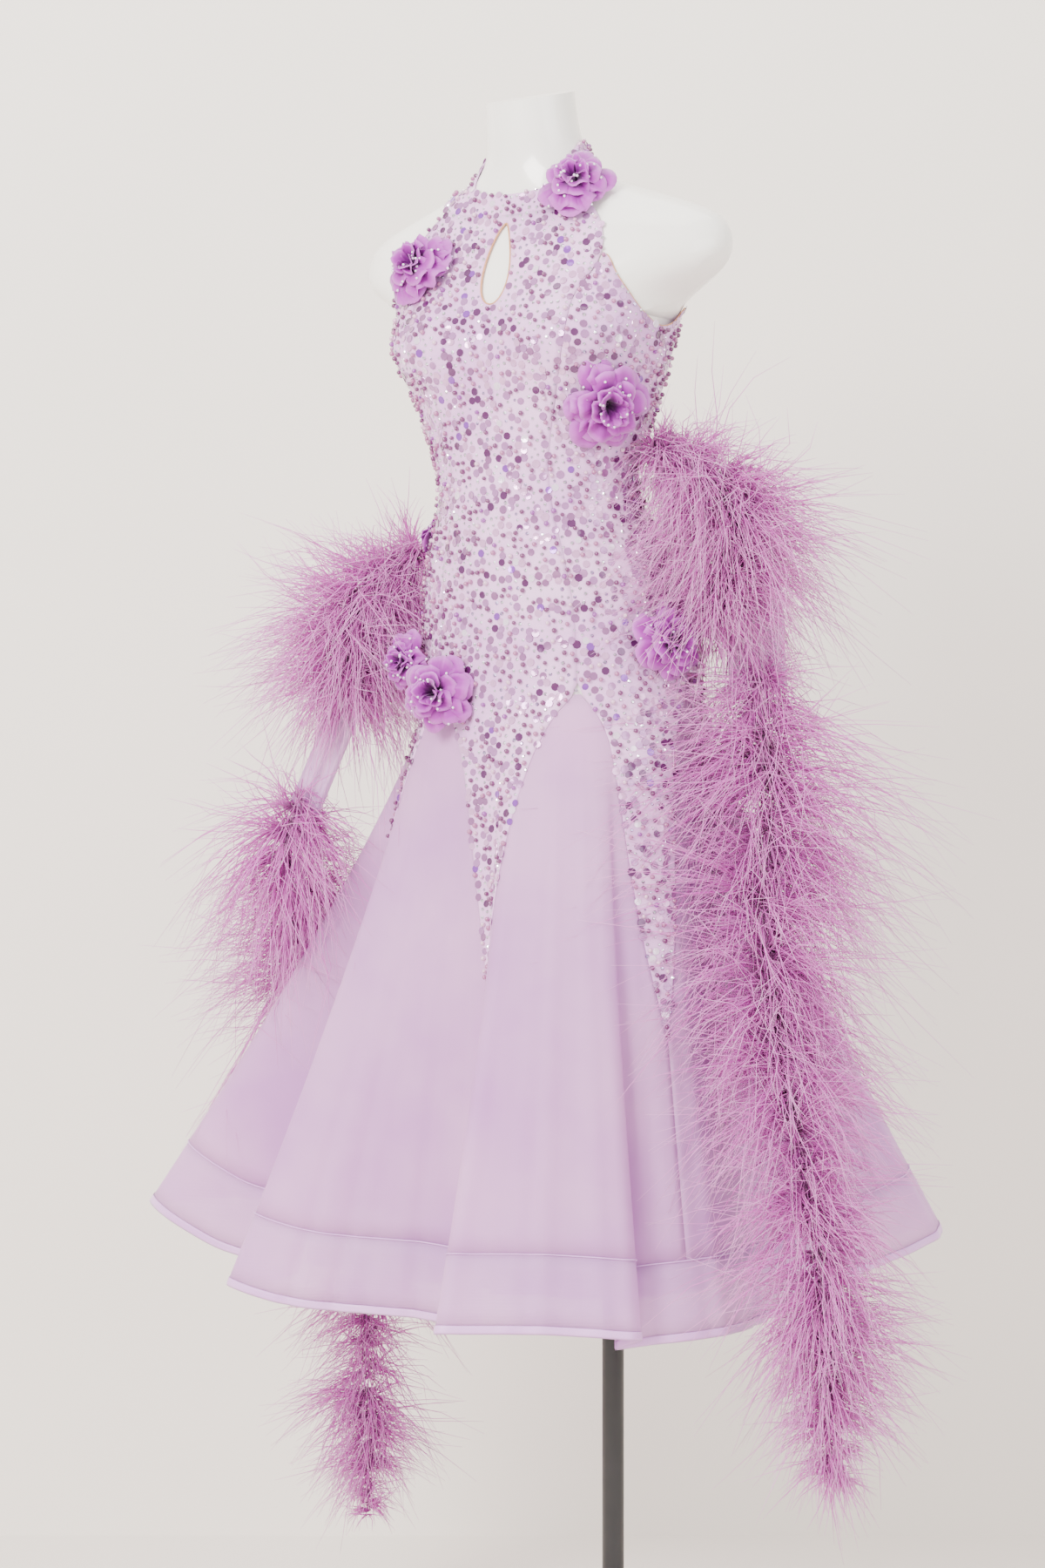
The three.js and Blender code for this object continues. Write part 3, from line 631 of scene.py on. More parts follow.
def feather_barbs():
    """Dyed ostrich in bright orchid along the barb, with painted shade dark at the quill and a painted
    highlight pale at its tip.
    """
    n = Nodes("feather_barbs")
    uv = n.add("ShaderNodeUVMap", uv_map="barb")
    parts = n.add("ShaderNodeSeparateXYZ", {"Vector": uv.outputs[0]})
    # painted shade dark at the quill and painted highlight pale at the tip, along each barb
    along = n.ramp(
        parts.outputs["Y"],
        (0.0, linear((198, 38, 182))),
        (0.3, linear((224, 84, 212))),
        (0.7, linear((238, 134, 226))),
        (1.0, linear((250, 214, 244))),
    )
    lot = n.ramp(parts.outputs["X"], (0.0, linear((212, 62, 192))), (1.0, linear((248, 184, 236))))
    tint = n.add("ShaderNodeMix", data_type="RGBA")
    tint.inputs["Factor"].default_value = 0.4
    n.tree.links.new(along, tint.inputs[6])
    n.tree.links.new(lot, tint.inputs[7])
    shader = n.principled({"Base Color": tint.outputs[2]}, Roughness=0.7)
    shader.inputs["Sheen Weight"].default_value = 0.3
    glow = n.add("ShaderNodeBsdfTranslucent", {"Color": tint.outputs[2]})
    both = n.add("ShaderNodeMixShader", {1: shader.outputs[0], 2: glow.outputs[0]})
    both.inputs[0].default_value = 0.35
    return n.finish(both.outputs[0])


def glint(name, stops, roughness, metallic=0.0, coat=0.5):
    """Sequins, pearls and stones: each piece takes its own colour from the table of stops."""
    n = Nodes(name)
    uv = n.add("ShaderNodeUVMap", uv_map="lot")
    parts = n.add("ShaderNodeSeparateXYZ", {"Vector": uv.outputs[0]})
    tint = n.add("ShaderNodeValToRGB", {"Fac": parts.outputs["X"]})
    tint.color_ramp.interpolation = "CONSTANT"
    elements = tint.color_ramp.elements
    while len(elements) < len(stops):
        elements.new(0.5)
    for element, (place, colour) in zip(elements, stops):
        element.position = place
        element.color = (*linear(colour), 1)
    shader = n.principled({"Base Color": tint.outputs[0]}, Roughness=roughness, Metallic=metallic)
    shader.inputs["Coat Weight"].default_value = coat
    shader.inputs["Coat Roughness"].default_value = 0.05
    return n.finish(shader.outputs[0])


def stage_paint(name, colour):
    """Matt paint that is seen from its front only."""
    n = Nodes(name)
    tint = n.ramp(n.noise(2), (0.3, linear(colour)), (0.7, linear([c + 3 for c in colour])))
    face = n.principled({"Base Color": tint}, Roughness=0.9)
    through = n.add("ShaderNodeBsdfTransparent")
    side = n.add("ShaderNodeNewGeometry")
    both = n.add(
        "ShaderNodeMixShader", {0: side.outputs["Backfacing"], 1: face.outputs[0], 2: through.outputs[0]}
    )
    return n.finish(both.outputs[0])


# ---- Pieces ----


def ring_faces(rows, columns):
    """The sides and the two ends of closed rings set one above the other."""
    faces = []
    for row in range(rows - 1):
        for column in range(columns):
            a, b = row * columns + column, row * columns + (column + 1) % columns
            faces.append((a, b, b + columns, a + columns))
    faces.append(tuple(range(columns))[::-1])
    faces.append(tuple(range((rows - 1) * columns, rows * columns)))
    return faces


def smooth_by_angle(piece, degrees):
    """Smooths a piece except over its sharp edges."""
    clear_selection()
    piece.select_set(True)
    bpy.context.view_layer.objects.active = piece
    bpy.ops.object.shade_smooth_by_angle(angle=math.radians(degrees))


def box_cutter(corner):
    """A box whose corners, half a unit from its middle, are moved to corner(x, y, z)."""
    clear_selection()
    bpy.ops.mesh.primitive_cube_add(size=1)
    cutter = bpy.context.object
    places = [corner(*vertex.co) for vertex in cutter.data.vertices]
    set_points(cutter.data, np.array(places) * MM)
    return cutter


def shoulder_cutter(side):
    """A wedge under one shoulder, from the slanted plane down and outside the armhole line."""
    slope = math.tan(math.radians(SHOULDER_CUT["tilt"]))

    def corner(x, y, z):
        reach = SHOULDER_CUT["inner"] if x < 0 else SHOULDER_CUT["outer"]
        plane = SHOULDER_CUT["z"] + (reach - SHOULDER_CUT["x"]) * slope
        return side * reach, SHOULDER_CUT["y"] + y * 400, plane if z > 0 else SHOULDER_CUT["foot"]

    cutter = box_cutter(corner)
    if side < 0:
        cutter.data.flip_normals()
    return cutter


def neck_cutter():
    """A block over the neck, whose underside is the neck's slanted top."""
    slope = math.tan(math.radians(NECK_TOP["tilt"]))

    def corner(x, y, z):
        back = y * 260
        plane = NECK_TOP["z"] + back * slope
        return x * 240, NECK_TOP["y"] + back, plane if z < 0 else NECK_TOP["above"]

    return box_cutter(corner)


def make_form():
    """The gloss torso form, cut flat at the shoulders and the neck."""
    columns, rows = 96, 120
    share, up = np.meshgrid(np.arange(columns) / columns, np.linspace(0, 1, rows))
    height = FORM_FOOT_Z + up.ravel() * (FORM_TOP_Z - FORM_FOOT_Z)
    points = on_form(share.ravel() * 360, height, 0) * MM
    piece = mesh_of("form_skin", points, ring_faces(rows, columns))
    for side in (-1, 1):
        cut_away(piece, shoulder_cutter(side))
    cut_away(piece, neck_cutter())
    smooth_by_angle(piece, 38)
    own(piece, "form_skin", form_gloss(), "form_body")


def cut_away(piece, cutter):
    """Cuts one piece with another, which is then removed."""
    modifier = piece.modifiers.new("Cut", "BOOLEAN")
    modifier.object = cutter
    modifier.operation = "DIFFERENCE"
    modifier.solver = "EXACT"
    clear_selection()
    piece.select_set(True)
    bpy.context.view_layer.objects.active = piece
    bpy.ops.object.modifier_apply(modifier="Cut")
    bpy.data.objects.remove(cutter)


def turned(name, profile, y, material, node):
    """A round piece spun from its outline of radius and height."""
    sides = 96
    turn = np.arange(sides) / sides * 2 * np.pi
    points = []
    for radius, z in profile:
        points += [(math.cos(t) * radius, math.sin(t) * radius + y, z) for t in turn]
    piece = mesh_of(name, np.array(points) * MM, ring_faces(len(profile), sides))
    smooth_by_angle(piece, 35)
    return own(piece, name, material, node)


def make_stand():
    """The base plate, its boss, the pole and the socket under the form."""
    steel = black_steel()
    turned("base_plate", [(190, 0), (190, 7), (189, 9), (187, 10)], -80, steel, "stand_base")
    turned("base_boss", [(24, 10.2), (24, 16), (22, 34), (20, 38)], 0, steel, "stand_boss")
    turned("pole", [(12.5, 38.2), (12.5, 957)], 0, steel, "stand_pole")
    turned("pole_socket", [(18, 958), (19, 960), (20, 990), (24, 999)], 0, steel, "stand_socket")


def gore_place(gore):
    name, right_seam, middle, left_seam = gore
    foot = 0.52

    def place(share, up):
        down = 1 - up
        is_front = middle == 0
        lower = np.clip((down - foot) / (1 - foot), 0, 1)
        nominal = np.where(down < foot, MID_Z, MID_Z + (TIP_Z - MID_Z) * lower)
        narrow = taper(nominal)
        right = middle + (right_seam - middle) * narrow
        left = middle + (left_seam - middle) * narrow
        if is_front:
            rise = COLLAR["back"] - COLLAR["dip"] - COLLAR["high"]
            rise = rise + (MID_Z - rise) * np.clip(down / foot, 0, 1)
            halter = between(HALTER_EDGE[:, 0], HALTER_EDGE[:, 1], rise)
            left = np.where(down < foot, halter, left)
            right = np.where(down < foot, -halter, right)
        gap = seam_angle(right + (left - right) * share, nominal)
        least = gap * 1.2 / SEAM * 2
        right = np.minimum(right, middle - least)
        left = np.maximum(left, middle + least)
        angle = right + gap + (left - right - 2 * gap) * share
        top = collar_top(angle) - COLLAR["high"] - SEAM if is_front else top_edge(angle)
        level = np.where(down < foot, top + (MID_Z - top) * np.clip(down / foot, 0, 1), nominal)
        return angle, level

    return place


def on_cloth(place, out, rippled=False):
    """Turns a place of angle and level into points off the dress."""

    def points(share, up):
        angle, level = place(share, up)
        return off_dress(angle, level, out, rippled=rippled)

    return points


def keyhole_edge(count):
    """Points of the keyhole's outline: x and z."""
    turn = np.arange(count) / count * 2 * np.pi
    up = (1 - np.cos(turn)) / 2
    x = np.sin(turn) * KEYHOLE["half"] * (0.35 + 0.75 * (1 - up) ** 0.62)
    return x, KEYHOLE["bottom"] + up * (KEYHOLE["top"] - KEYHOLE["bottom"])


def make_sheath(settings):
    """The six gores, the keyhole and the collar."""
    cloth = sheath_cloth(settings)
    for gore in GORES:
        place = gore_place(gore)
        piece = sheet_grid(24, 64, on_cloth(place, CLOTH), CLOTH)
        if gore[2] == 0:
            x, z = keyhole_edge(64)
            count = len(x)
            front = np.stack([x, np.full(count, -340.0), z], 1)
            back = np.stack([x, np.full(count, -190.0), z], 1)
            sides = [(i, i + count, (i + 1) % count + count, (i + 1) % count) for i in range(count)]
            caps = [tuple(range(count)), tuple(range(count, 2 * count))[::-1]]
            cutter = mesh_of("keyhole", np.concatenate([front, back]) * MM, sides + caps)
            clear_selection()
            cutter.select_set(True)
            bpy.context.view_layer.objects.active = cutter
            bpy.ops.object.mode_set(mode="EDIT")
            bpy.ops.mesh.select_all(action="SELECT")
            bpy.ops.mesh.normals_make_consistent(inside=False)
            bpy.ops.object.mode_set(mode="OBJECT")
            cut_away(piece, cutter)
        own(piece, gore[0] + "_cloth", cloth, gore[0])

    def collar(share, up):
        angle = -178.6 + share * 357.2
        return on_form(angle, collar_top(angle) - COLLAR["high"] * (1 - up), EASE + CLOTH)

    piece = sheet_grid(160, 8, collar, CLOTH)
    own(piece, "collar_cloth", cloth, "halter_collar")


def strip_tube(name, points, radius, material, closed, sides=8):
    """A thin rolled edge along points that lie on the dress, with flat closed ends if open."""
    points = np.asarray(points, float)
    ahead = np.roll(points, -1, 0) - np.roll(points, 1, 0)
    if not closed:
        ahead[0], ahead[-1] = points[1] - points[0], points[-1] - points[-2]
    ahead /= np.linalg.norm(ahead, axis=1, keepdims=True)
    side = np.cross(ahead, np.array([0.2, 0.9, 0.1]))
    side /= np.linalg.norm(side, axis=1, keepdims=True)
    other = np.cross(ahead, side)
    turn = np.arange(sides) / sides * 2 * np.pi
    ring = side[:, None] * np.cos(turn)[None, :, None] + other[:, None] * np.sin(turn)[None, :, None]
    shell = (points[:, None] + ring * radius).reshape(-1, 3)
    faces = []
    count = len(points)
    for row in range(count if closed else count - 1):
        for column in range(sides):
            a, b = row * sides + column, row * sides + (column + 1) % sides
            c, d = (a + sides) % (count * sides), (b + sides) % (count * sides)
            faces.append((a, b, d, c))
    if not closed:
        faces.append(tuple(range(sides))[::-1])
        faces.append(tuple(range((count - 1) * sides, count * sides)))
    mesh = bpy.data.meshes.new(name)
    mesh.from_pydata((shell * MM).tolist(), [], faces)
    piece = bpy.data.objects.new(name, mesh)
    bpy.context.scene.collection.objects.link(piece)
    shade_smooth(piece)
    return own(piece, name, material)


def nude_edging():
    """Skin-toned elastic."""
    n = Nodes("nude_edging")
    tint = n.ramp(n.noise(300), (0.3, linear((186, 128, 92))), (0.7, linear((208, 152, 112))))
    return n.finish(n.principled({"Base Color": tint}, Roughness=0.6).outputs[0])


def make_edges():
    """The bound edges of the keyhole and the armholes."""
    edging = nude_edging()
    x, z = keyhole_edge(72)
    angles = np.degrees(np.arcsin(np.clip(x / between(BODY[:, 0], BODY[:, 2], z), -1, 1)))
    strip_tube("keyhole_edge", off_dress(angles, z, 0.9), 1.1, edging, True)
    for side, word in ((1, "left"), (-1, "right")):
        angle = np.linspace(34, 119, 80) * side
        strip_tube(f"armhole_edge_{word}", off_dress(angle, top_edge(angle) + 0.2, 0.7), 0.8, edging, False)


def sample_cloth(count, spacing, seed):
    """Places on the sheath and the collar for the stones, spread evenly: angle and level."""
    random = np.random.default_rng(seed)
    spots = []
    for item in GORES:
        angle, level = gore_place(item)(random.random(26000), random.random(26000))
        spots.append(np.stack([angle, level], 1))
    angle = random.random(5200) * 354 - 177
    level = collar_top(angle) - COLLAR["high"] * random.random(5200)
    spots.append(np.stack([angle, level], 1))
    spots = random.permutation(np.concatenate(spots))
    places = off_dress(spots[:, 0], spots[:, 1], CLOTH)
    kept, cells = [], {}
    for index, place in enumerate(places):
        if in_keyhole(place):
            continue
        cell = tuple((place // spacing).astype(int))
        near = [other for key in cells_round(cell) for other in cells.get(key, [])]
        if near and (((np.array(near) - place) ** 2).sum(1) < spacing**2).any():
            continue
        cells.setdefault(cell, []).append(place)
        kept.append(index)
        if len(kept) == count:
            break
    return spots[kept]


def cells_round(cell):
    """A cell of the grid and the 26 that touch it."""
    steps = (-1, 0, 1)
    return [(cell[0] + x, cell[1] + y, cell[2] + z) for x in steps for y in steps for z in steps]


def in_keyhole(point):
    """Whether a point is over the open keyhole."""
    if point[1] > -180:
        return False
    tall = KEYHOLE["top"] - KEYHOLE["bottom"]
    up = (point[2] - KEYHOLE["bottom"]) / tall
    if not -0.04 < up < 1.04:
        return False
    up = min(max(up, 0), 1)
    half = KEYHOLE["half"] * math.sin(math.acos(1 - 2 * up)) * (0.35 + 0.75 * (1 - up) ** 0.62)
    return abs(point[0]) < half + 4


def disc(sides, thick):
    """A flat round sequin with a raised rim."""
    turn = np.arange(sides) / sides * 2 * np.pi
    rim = np.stack([np.cos(turn), np.sin(turn), 0 * turn], 1)
    points = np.concatenate([rim, rim * [0.92, 0.92, 1] + [0, 0, thick], [[0, 0, thick * 0.6]]])
    faces = [(i, (i + 1) % sides, sides + (i + 1) % sides) for i in range(sides)]
    faces += [(i, sides + (i + 1) % sides, sides + i) for i in range(sides)]
    faces += [(sides + i, sides + (i + 1) % sides, 2 * sides) for i in range(sides)]
    faces += [(0, i + 1, i) for i in range(1, sides - 1)]
    return points, faces


def bead(around, tiers):
    """A round bead."""
    points, faces = [(0, 0, -1.0)], []
    for tier in range(1, tiers):
        tip = math.pi * tier / tiers
        for i in range(around):
            turn = 2 * math.pi * i / around
            points.append((math.sin(tip) * math.cos(turn), math.sin(tip) * math.sin(turn), -math.cos(tip)))
    points.append((0, 0, 1.0))
    for i in range(around):
        j = (i + 1) % around
        faces.append((0, 1 + j, 1 + i))
        top = 1 + (tiers - 2) * around
        faces.append((len(points) - 1, top + i, top + j))
        for tier in range(tiers - 2):
            a, b = 1 + tier * around + i, 1 + tier * around + j
            faces += [(a, b, b + around), (a, b + around, a + around)]
    return np.array(points), faces


def stone():
    """A flat-backed cut stone: six sides and a small table."""
    sides = 6
    turn = np.arange(sides) / sides * 2 * np.pi
    rim = np.stack([np.cos(turn), np.sin(turn), 0 * turn + 0.1], 1)
    table = np.stack([0.5 * np.cos(turn), 0.5 * np.sin(turn), 0 * turn + 0.55], 1)
    points = np.concatenate([rim, table])
    faces = [(i, (i + 1) % sides, sides + (i + 1) % sides) for i in range(sides)]
    faces += [(i, sides + (i + 1) % sides, sides + i) for i in range(sides)]
    faces += [(sides, sides + i, sides + i + 1) for i in range(1, sides - 1)]
    faces += [(0, i + 1, i) for i in range(1, sides - 1)]
    return points, faces


def set_lot(piece, per_piece, values, name, second=None):
    """Writes one random number a small piece into its UV map."""
    layer = piece.data.uv_layers.new(name=name)
    loops = len(piece.data.loops)
    corner = np.empty(loops, np.int32)
    piece.data.loops.foreach_get("vertex_index", corner)
    data = np.zeros((loops, 2), np.float32)
    data[:, 0] = values[corner // per_piece]
    data[:, 1] = 0.5 if second is None else second[corner]
    layer.data.foreach_set("uv", data.ravel())


def frames_at(angle, level, out):
    """Points on the dress and the directions away from it."""
    place = off_dress(angle, level, out)
    up = off_dress(angle, level, out + 5) - place
    return place, up / np.linalg.norm(up, axis=1, keepdims=True)


def make_stones(settings):
    """Sequins, pearls and cut stones, spread evenly over the sheath and the collar."""
    count = settings.stones
    spots = sample_cloth(count, round(settings.stone_spacing / MM, 3), 7)
    random = np.random.default_rng(11)
    kind = random.random(len(spots))
    lot = random.random(len(spots))
    spin = random.random(len(spots)) * 6.28

    def batch(name, chosen, unit, low, high, lift, colours, slot_material):
        size = low + (high - low) * random.random(chosen.sum())
        place, up = frames_at(spots[chosen, 0], spots[chosen, 1], CLOTH + lift)
        lean = random.normal(0, 0.07, up.shape)
        up = up + lean
        up /= np.linalg.norm(up, axis=1, keepdims=True)
        points, faces = unit
        piece = scattered(name, points, faces, place, up, np.tile(size[:, None], (1, 3)), spin[chosen])
        set_lot(piece, len(points), lot[chosen], "lot")
        if name.startswith("pearl"):
            shade_smooth(piece)
        own(piece, name, glint(name, colours, *slot_material))

    plum, mauve, rose = (92, 34, 92), (176, 120, 178), (214, 160, 208)
    pale, silver, violet = (236, 214, 238), (216, 212, 222), (136, 60, 176)
    dusky = (150, 96, 148)
    sequin_lots = [(0, mauve), (0.34, dusky), (0.56, rose), (0.78, plum), (0.9, pale), (0.96, violet)]
    pearl_lots = [(0, (112, 48, 100)), (0.5, (172, 104, 150)), (0.8, (222, 180, 208)), (0.94, (150, 70, 160))]
    stone_lots = [(0, silver), (0.6, (240, 236, 246)), (0.85, (190, 170, 210))]
    batch("sequins", kind < 0.36, disc(8, 0.12), 3.9, 4.9, 0.35, sequin_lots, (0.16, 0.35, 0.8))
    batch("pearls", (kind >= 0.36) & (kind < 0.68), bead(6, 4), 2.4, 3.2, 2.0, pearl_lots, (0.2, 0.1, 0.8))
    batch("stones", kind >= 0.68, stone(), 1.5, 2.4, 0.2, stone_lots, (0.08, 0.9, 0.6))


def godet_place(index):
    """Where the godet after a gore lies, by shares across and up."""
    _, _, right_middle, right_seam = GORES[index]
    _, left_seam, left_middle, _ = GORES[(index + 1) % len(GORES)]
    over = 360 if left_middle < right_middle else 0

    def place(share, up):
        top = HIP_Z - 3
        level = top + (HEM_Z + BRAID - top) * (1 - up)
        narrow = taper(level)
        right = right_middle + (right_seam - right_middle) * narrow
        left = left_middle + over + (left_seam - left_middle) * narrow
        gap = seam_angle(right + (left - right) * share, level)
        return right + gap + (left - right - 2 * gap) * share, level

    return place


def make_godets(settings):
    """The six sheer godets between the gores."""
    cloth = sheer("godet_sheer", in_255(settings.skirt), in_255(settings.skirt_shade), 0.2)
    for index, word in enumerate(GODETS):
        place = godet_place(index)
        piece = sheet_grid(56, 28, on_cloth(place, CLOTH * 0.5, True), 0.5)
        own(piece, f"godet_{word}_cloth", cloth, f"godet_{word}")


def ring_place(high, low, out, table=HEM, rippled=True):
    """Where a ring round the skirt lies, by shares round and up."""
    def place(share, up):
        level = low + (high - low) * up
        return off_dress(-180 + share * 360, level, out, table, rippled)

    return place


def folded_ribbon(share, up):
    """A ribbon folded over the hem's edge: half its width in front of the braid and half behind."""
    side = 2 * up - 1
    level = HEM_Z + BINDING * np.abs(side)
    out = CLOTH * 0.6 + 0.9 * np.clip(4 * side, -1, 1)
    return off_dress(-180 + share * 360, level, out, HEM, True)


def make_hem():
    """The braid, its ribbon and its stitching."""
    braid = sheer("hem_braiding", (236, 192, 236), (224, 172, 230), 0.26, ribs=90)
    satin = satin_ribbon()
    top, ribbon = HEM_Z + BRAID, HEM_Z + BINDING
    piece = sheet_grid(432, 4, ring_place(top - SEAM, ribbon, CLOTH * 0.6), 0.9, ring=True)
    own(piece, "hem_braid_cloth", braid, [f"hem_braid_{word}" for word in GODETS])
    piece = sheet_grid(432, 8, folded_ribbon, 0.3, ring=True)
    own(piece, "hem_binding_ribbon", satin, [f"hem_binding_{word}" for word in GODETS])
    # the stitched top of the braid, a raised cord of thread
    angle = np.linspace(-180, 180, 721)[:-1]
    line = off_dress(angle, np.full(720, top - 1.0), CLOTH * 0.6 + 0.6, HEM, True)
    strip_tube("hem_stitching", line, 0.7, satin, True, 6)


def make_underskirt():
    """The inner skirt and its braid."""
    cloth = sheer("under_sheer", (224, 170, 234), (206, 146, 224), 0.2)
    braid = sheer("under_braiding", (192, 134, 220), (174, 112, 210), 0.2, ribs=90)
    top = HEM_Z + BRAID
    piece = sheet_grid(240, 14, ring_place(1040, top, -7.5, UNDER_HEM, False), 0.6, ring=True)
    own(piece, "underskirt_cloth", cloth, [f"underskirt_{word}" for word in UNDER_PANELS])
    piece = sheet_grid(240, 3, ring_place(top - SEAM, HEM_Z, -7.5, UNDER_HEM, False), 0.9, ring=True)
    nodes = [f"underskirt_braid_{word}" for word in UNDER_PANELS]
    own(piece, "underskirt_braid_cloth", braid, nodes)


def petal(random, radius, high, reach, lift, turn, wide):
    """One thin cupped petal with a ruffled rim, closed all round, and its painted shade from root to rim."""
    columns, rows, thick = 11, 7, 0.45
    share, up = np.meshgrid(np.linspace(-1, 1, columns + 1), np.linspace(0, 1, rows + 1))
    phase, waves = random.random(3) * 6.28, 2.2 + 2 * random.random()
    rim = np.sqrt(1 - 0.82 * share**2)
    ruffle = up**1.6 * (0.10 * np.sin(share * waves * 2 + phase[0]) + 0.06 * np.sin(share * 9 + phase[1]))
    out = radius * (0.06 + reach * up * rim * (0.92 + 0.14 * random.random()))
    curl = 0.2 * np.sin(up * math.pi) - 0.22 * up**4
    angle = turn + share * wide * (0.3 + 0.7 * up**0.6) + 0.1 * np.sin(up * 3 + phase[2])
    rise = high * (0.08 + lift * up**0.8 + curl * (1 - 0.5 * lift) + ruffle * 1.3)
    face = np.stack([np.cos(angle) * out, np.sin(angle) * out, np.maximum(rise, 0.8)], -1).reshape(-1, 3)
    points = np.concatenate([face, face - [0, 0, thick]])
    wide_row, shift = columns + 1, len(face)
    quads = []
    for row in range(rows):
        for column in range(columns):
            a = row * wide_row + column
            b, c, d = a + 1, a + wide_row + 1, a + wide_row
            quads += [(a, b, c, d), (a + shift, d + shift, c + shift, b + shift)]
    border = list(range(columns)) + [row * wide_row + columns for row in range(rows)]
    border += [rows * wide_row + columns - i for i in range(columns)]
    border += [(rows - row) * wide_row for row in range(rows)]
    quads += [(b, a, a + shift, b + shift) for a, b in zip(border, border[1:] + border[:1])]
    # the last value is the painted shade, low at the root and high at the rim
    return points, np.array(quads), np.tile((up * (0.7 + 0.3 * rim)).ravel(), 2)


# Rounds of petals: how many, how far they reach, how steeply they stand and how wide each is
ROUNDS = [
    (3, 0.3, 1.0, 1.3),
    (4, 0.46, 0.86, 1.05),
    (5, 0.68, 0.6, 0.85),
    (6, 0.88, 0.34, 0.72),
    (6, 1.0, 0.1, 0.68),
]


def rose_mesh(rose, random):
    """All the petals of a rose in its own frame, and their painted shade."""
    _, _, _, radius, high, off, _ = rose
    points, faces, painted_shade, start = [], [], [], 0
    for count, reach, lift, wide in ROUNDS:
        first = random.random() * 6.28
        for index in range(count):
            turn = first + 2 * math.pi * (index + 0.45 * random.random()) / count
            reach_now = reach * (0.86 + 0.2 * random.random())
            found = petal(random, radius, high, reach_now, lift, turn, wide * (0.85 + 0.3 * random.random()))
            points.append(found[0])
            faces.append(found[1] + start)
            painted_shade.append(found[2])
            start += len(found[0])
    return np.concatenate(points), np.concatenate(faces), np.concatenate(painted_shade)


def rose_cut(rose):
    """The flat cut of a rose: its petals side by side, each a fan with half its rectangle's area."""
    radius, high = rose[3], rose[4]
    across, longest, area = 0.0, 0.0, 0.0
    for count, reach, lift, wide in ROUNDS:
        length = math.hypot(reach * radius, lift * high) * MM
        width = 2 * wide * reach * radius * MM
        across += count * width
        longest = max(longest, length)
        area += count * length * width / 2
    return across, longest, area


def rose_frame(rose):
    """Where a rose sits and the three directions of its own frame."""
    _, angle, level, _, _, off, turn = rose
    place, up = frames_at(np.array([float(angle)]), np.array([float(level)]), off - 4.0)
    swing, (x, y, z) = math.radians(turn), up[0]
    up = np.array([x * math.cos(swing) - y * math.sin(swing), x * math.sin(swing) + y * math.cos(swing), z])
    side = np.cross(up, [0.1, 0.2, 1.0])
    side /= np.linalg.norm(side)
    return place[0], side, np.cross(up, side), up


def make_roses(settings):
    """The fabric roses and the pearls on their petals."""
    petals = petal_cloth()
    dots = glint("rose_pearls", [(0, (236, 214, 240)), (0.6, (250, 240, 250))], 0.2, 0.0, 0.8)
    count = settings.rose_pearls
    for number, rose in enumerate(ROSES):
        random = np.random.default_rng(100 + number)
        points, faces, painted_shade = rose_mesh(rose, random)
        place, side, other, up = rose_frame(rose)
        world = place + points[:, :1] * side + points[:, 1:2] * other + points[:, 2:] * up
        piece = mesh_of(rose[0], world * MM, faces)
        # the petal UV carries the painted shade from root to rim
        set_lot(piece, len(points), np.array([0.5]), "petal", painted_shade)
        shade_smooth(piece)
        own(piece, rose[0] + "_petals", petals, rose[0])
        width, length, area = rose_cut(rose)
        chosen = random.choice(np.nonzero(painted_shade > 0.5)[0], count, replace=False)
        unit, unit_faces = bead(6, 4)
        ups = np.tile(up, (count, 1))
        beads = scattered(
            rose[0] + "_pearls",
            unit,
            unit_faces,
            world[chosen] + ups * 1.2,
            ups,
            np.full((count, 3), 1.6),
            np.zeros(count),
        )
        set_lot(beads, len(unit), random.random(count), "lot")
        shade_smooth(beads)
        own(beads, rose[0] + "_pearls", dots)


def make_floats():
    """The bare lengths of chiffon between the feathers."""
    cloth = sheer("float_sheer", (238, 200, 240), (224, 178, 232), 0.3)
    for name, (start, end, half) in FLOATS.items():
        start, end = np.array(start, float), np.array(end, float)
        way = (end - start) / np.linalg.norm(end - start)
        across = np.array([math.cos(VIEW), math.sin(VIEW), 0])
        across -= way * across.dot(way)
        across /= np.linalg.norm(across)
        out = np.cross(way, across)

        def place(share, up):
            down = (1 - up)[:, None]
            wave = 5 * np.sin(share * 4 * np.pi + 0.4 * down[:, 0])
            aside = across * ((2 * share - 1) * half)[:, None]
            return start + (end - start) * down + aside - out * wave[:, None]

        piece = sheet_grid(24, 16, place, 0.6)
        own(piece, name + "_chiffon", cloth, name)


def body_reach():
    """How far the dress reaches from its own middle, by direction and height, as a table."""
    angle, level = np.meshgrid(np.linspace(-180, 180, 721), np.linspace(1640, HEM_Z, 300))
    points = off_dress(angle.ravel(), level.ravel(), CLOTH + 3)
    way = np.degrees(np.arctan2(points[:, 0], AXIS_Y - points[:, 1])) // 3 + 60
    row = np.clip((points[:, 2] - 440) // 10, 0, 119)
    reach = np.hypot(points[:, 0], points[:, 1] - AXIS_Y)
    table = np.zeros((120, 121))
    np.maximum.at(table, (row.astype(int), np.clip(way, 0, 120).astype(int)), reach)
    return table


def keep_outside(points, table):
    """Moves points that are inside the dress out to its surface."""
    x, y = points[..., 0], points[..., 1] - AXIS_Y
    reach = np.hypot(x, y) + 1e-6
    way = np.clip(np.degrees(np.arctan2(x, -y)) // 3 + 60, 0, 120).astype(int)
    row = ((points[..., 2] - 440) // 10).astype(int)
    least = np.where((row >= 0) & (row < 120), table[np.clip(row, 0, 119), way], 0)
    grow = np.maximum(least / reach, 1)
    points[..., 0], points[..., 1] = x * grow, y * grow + AXIS_Y
    return points


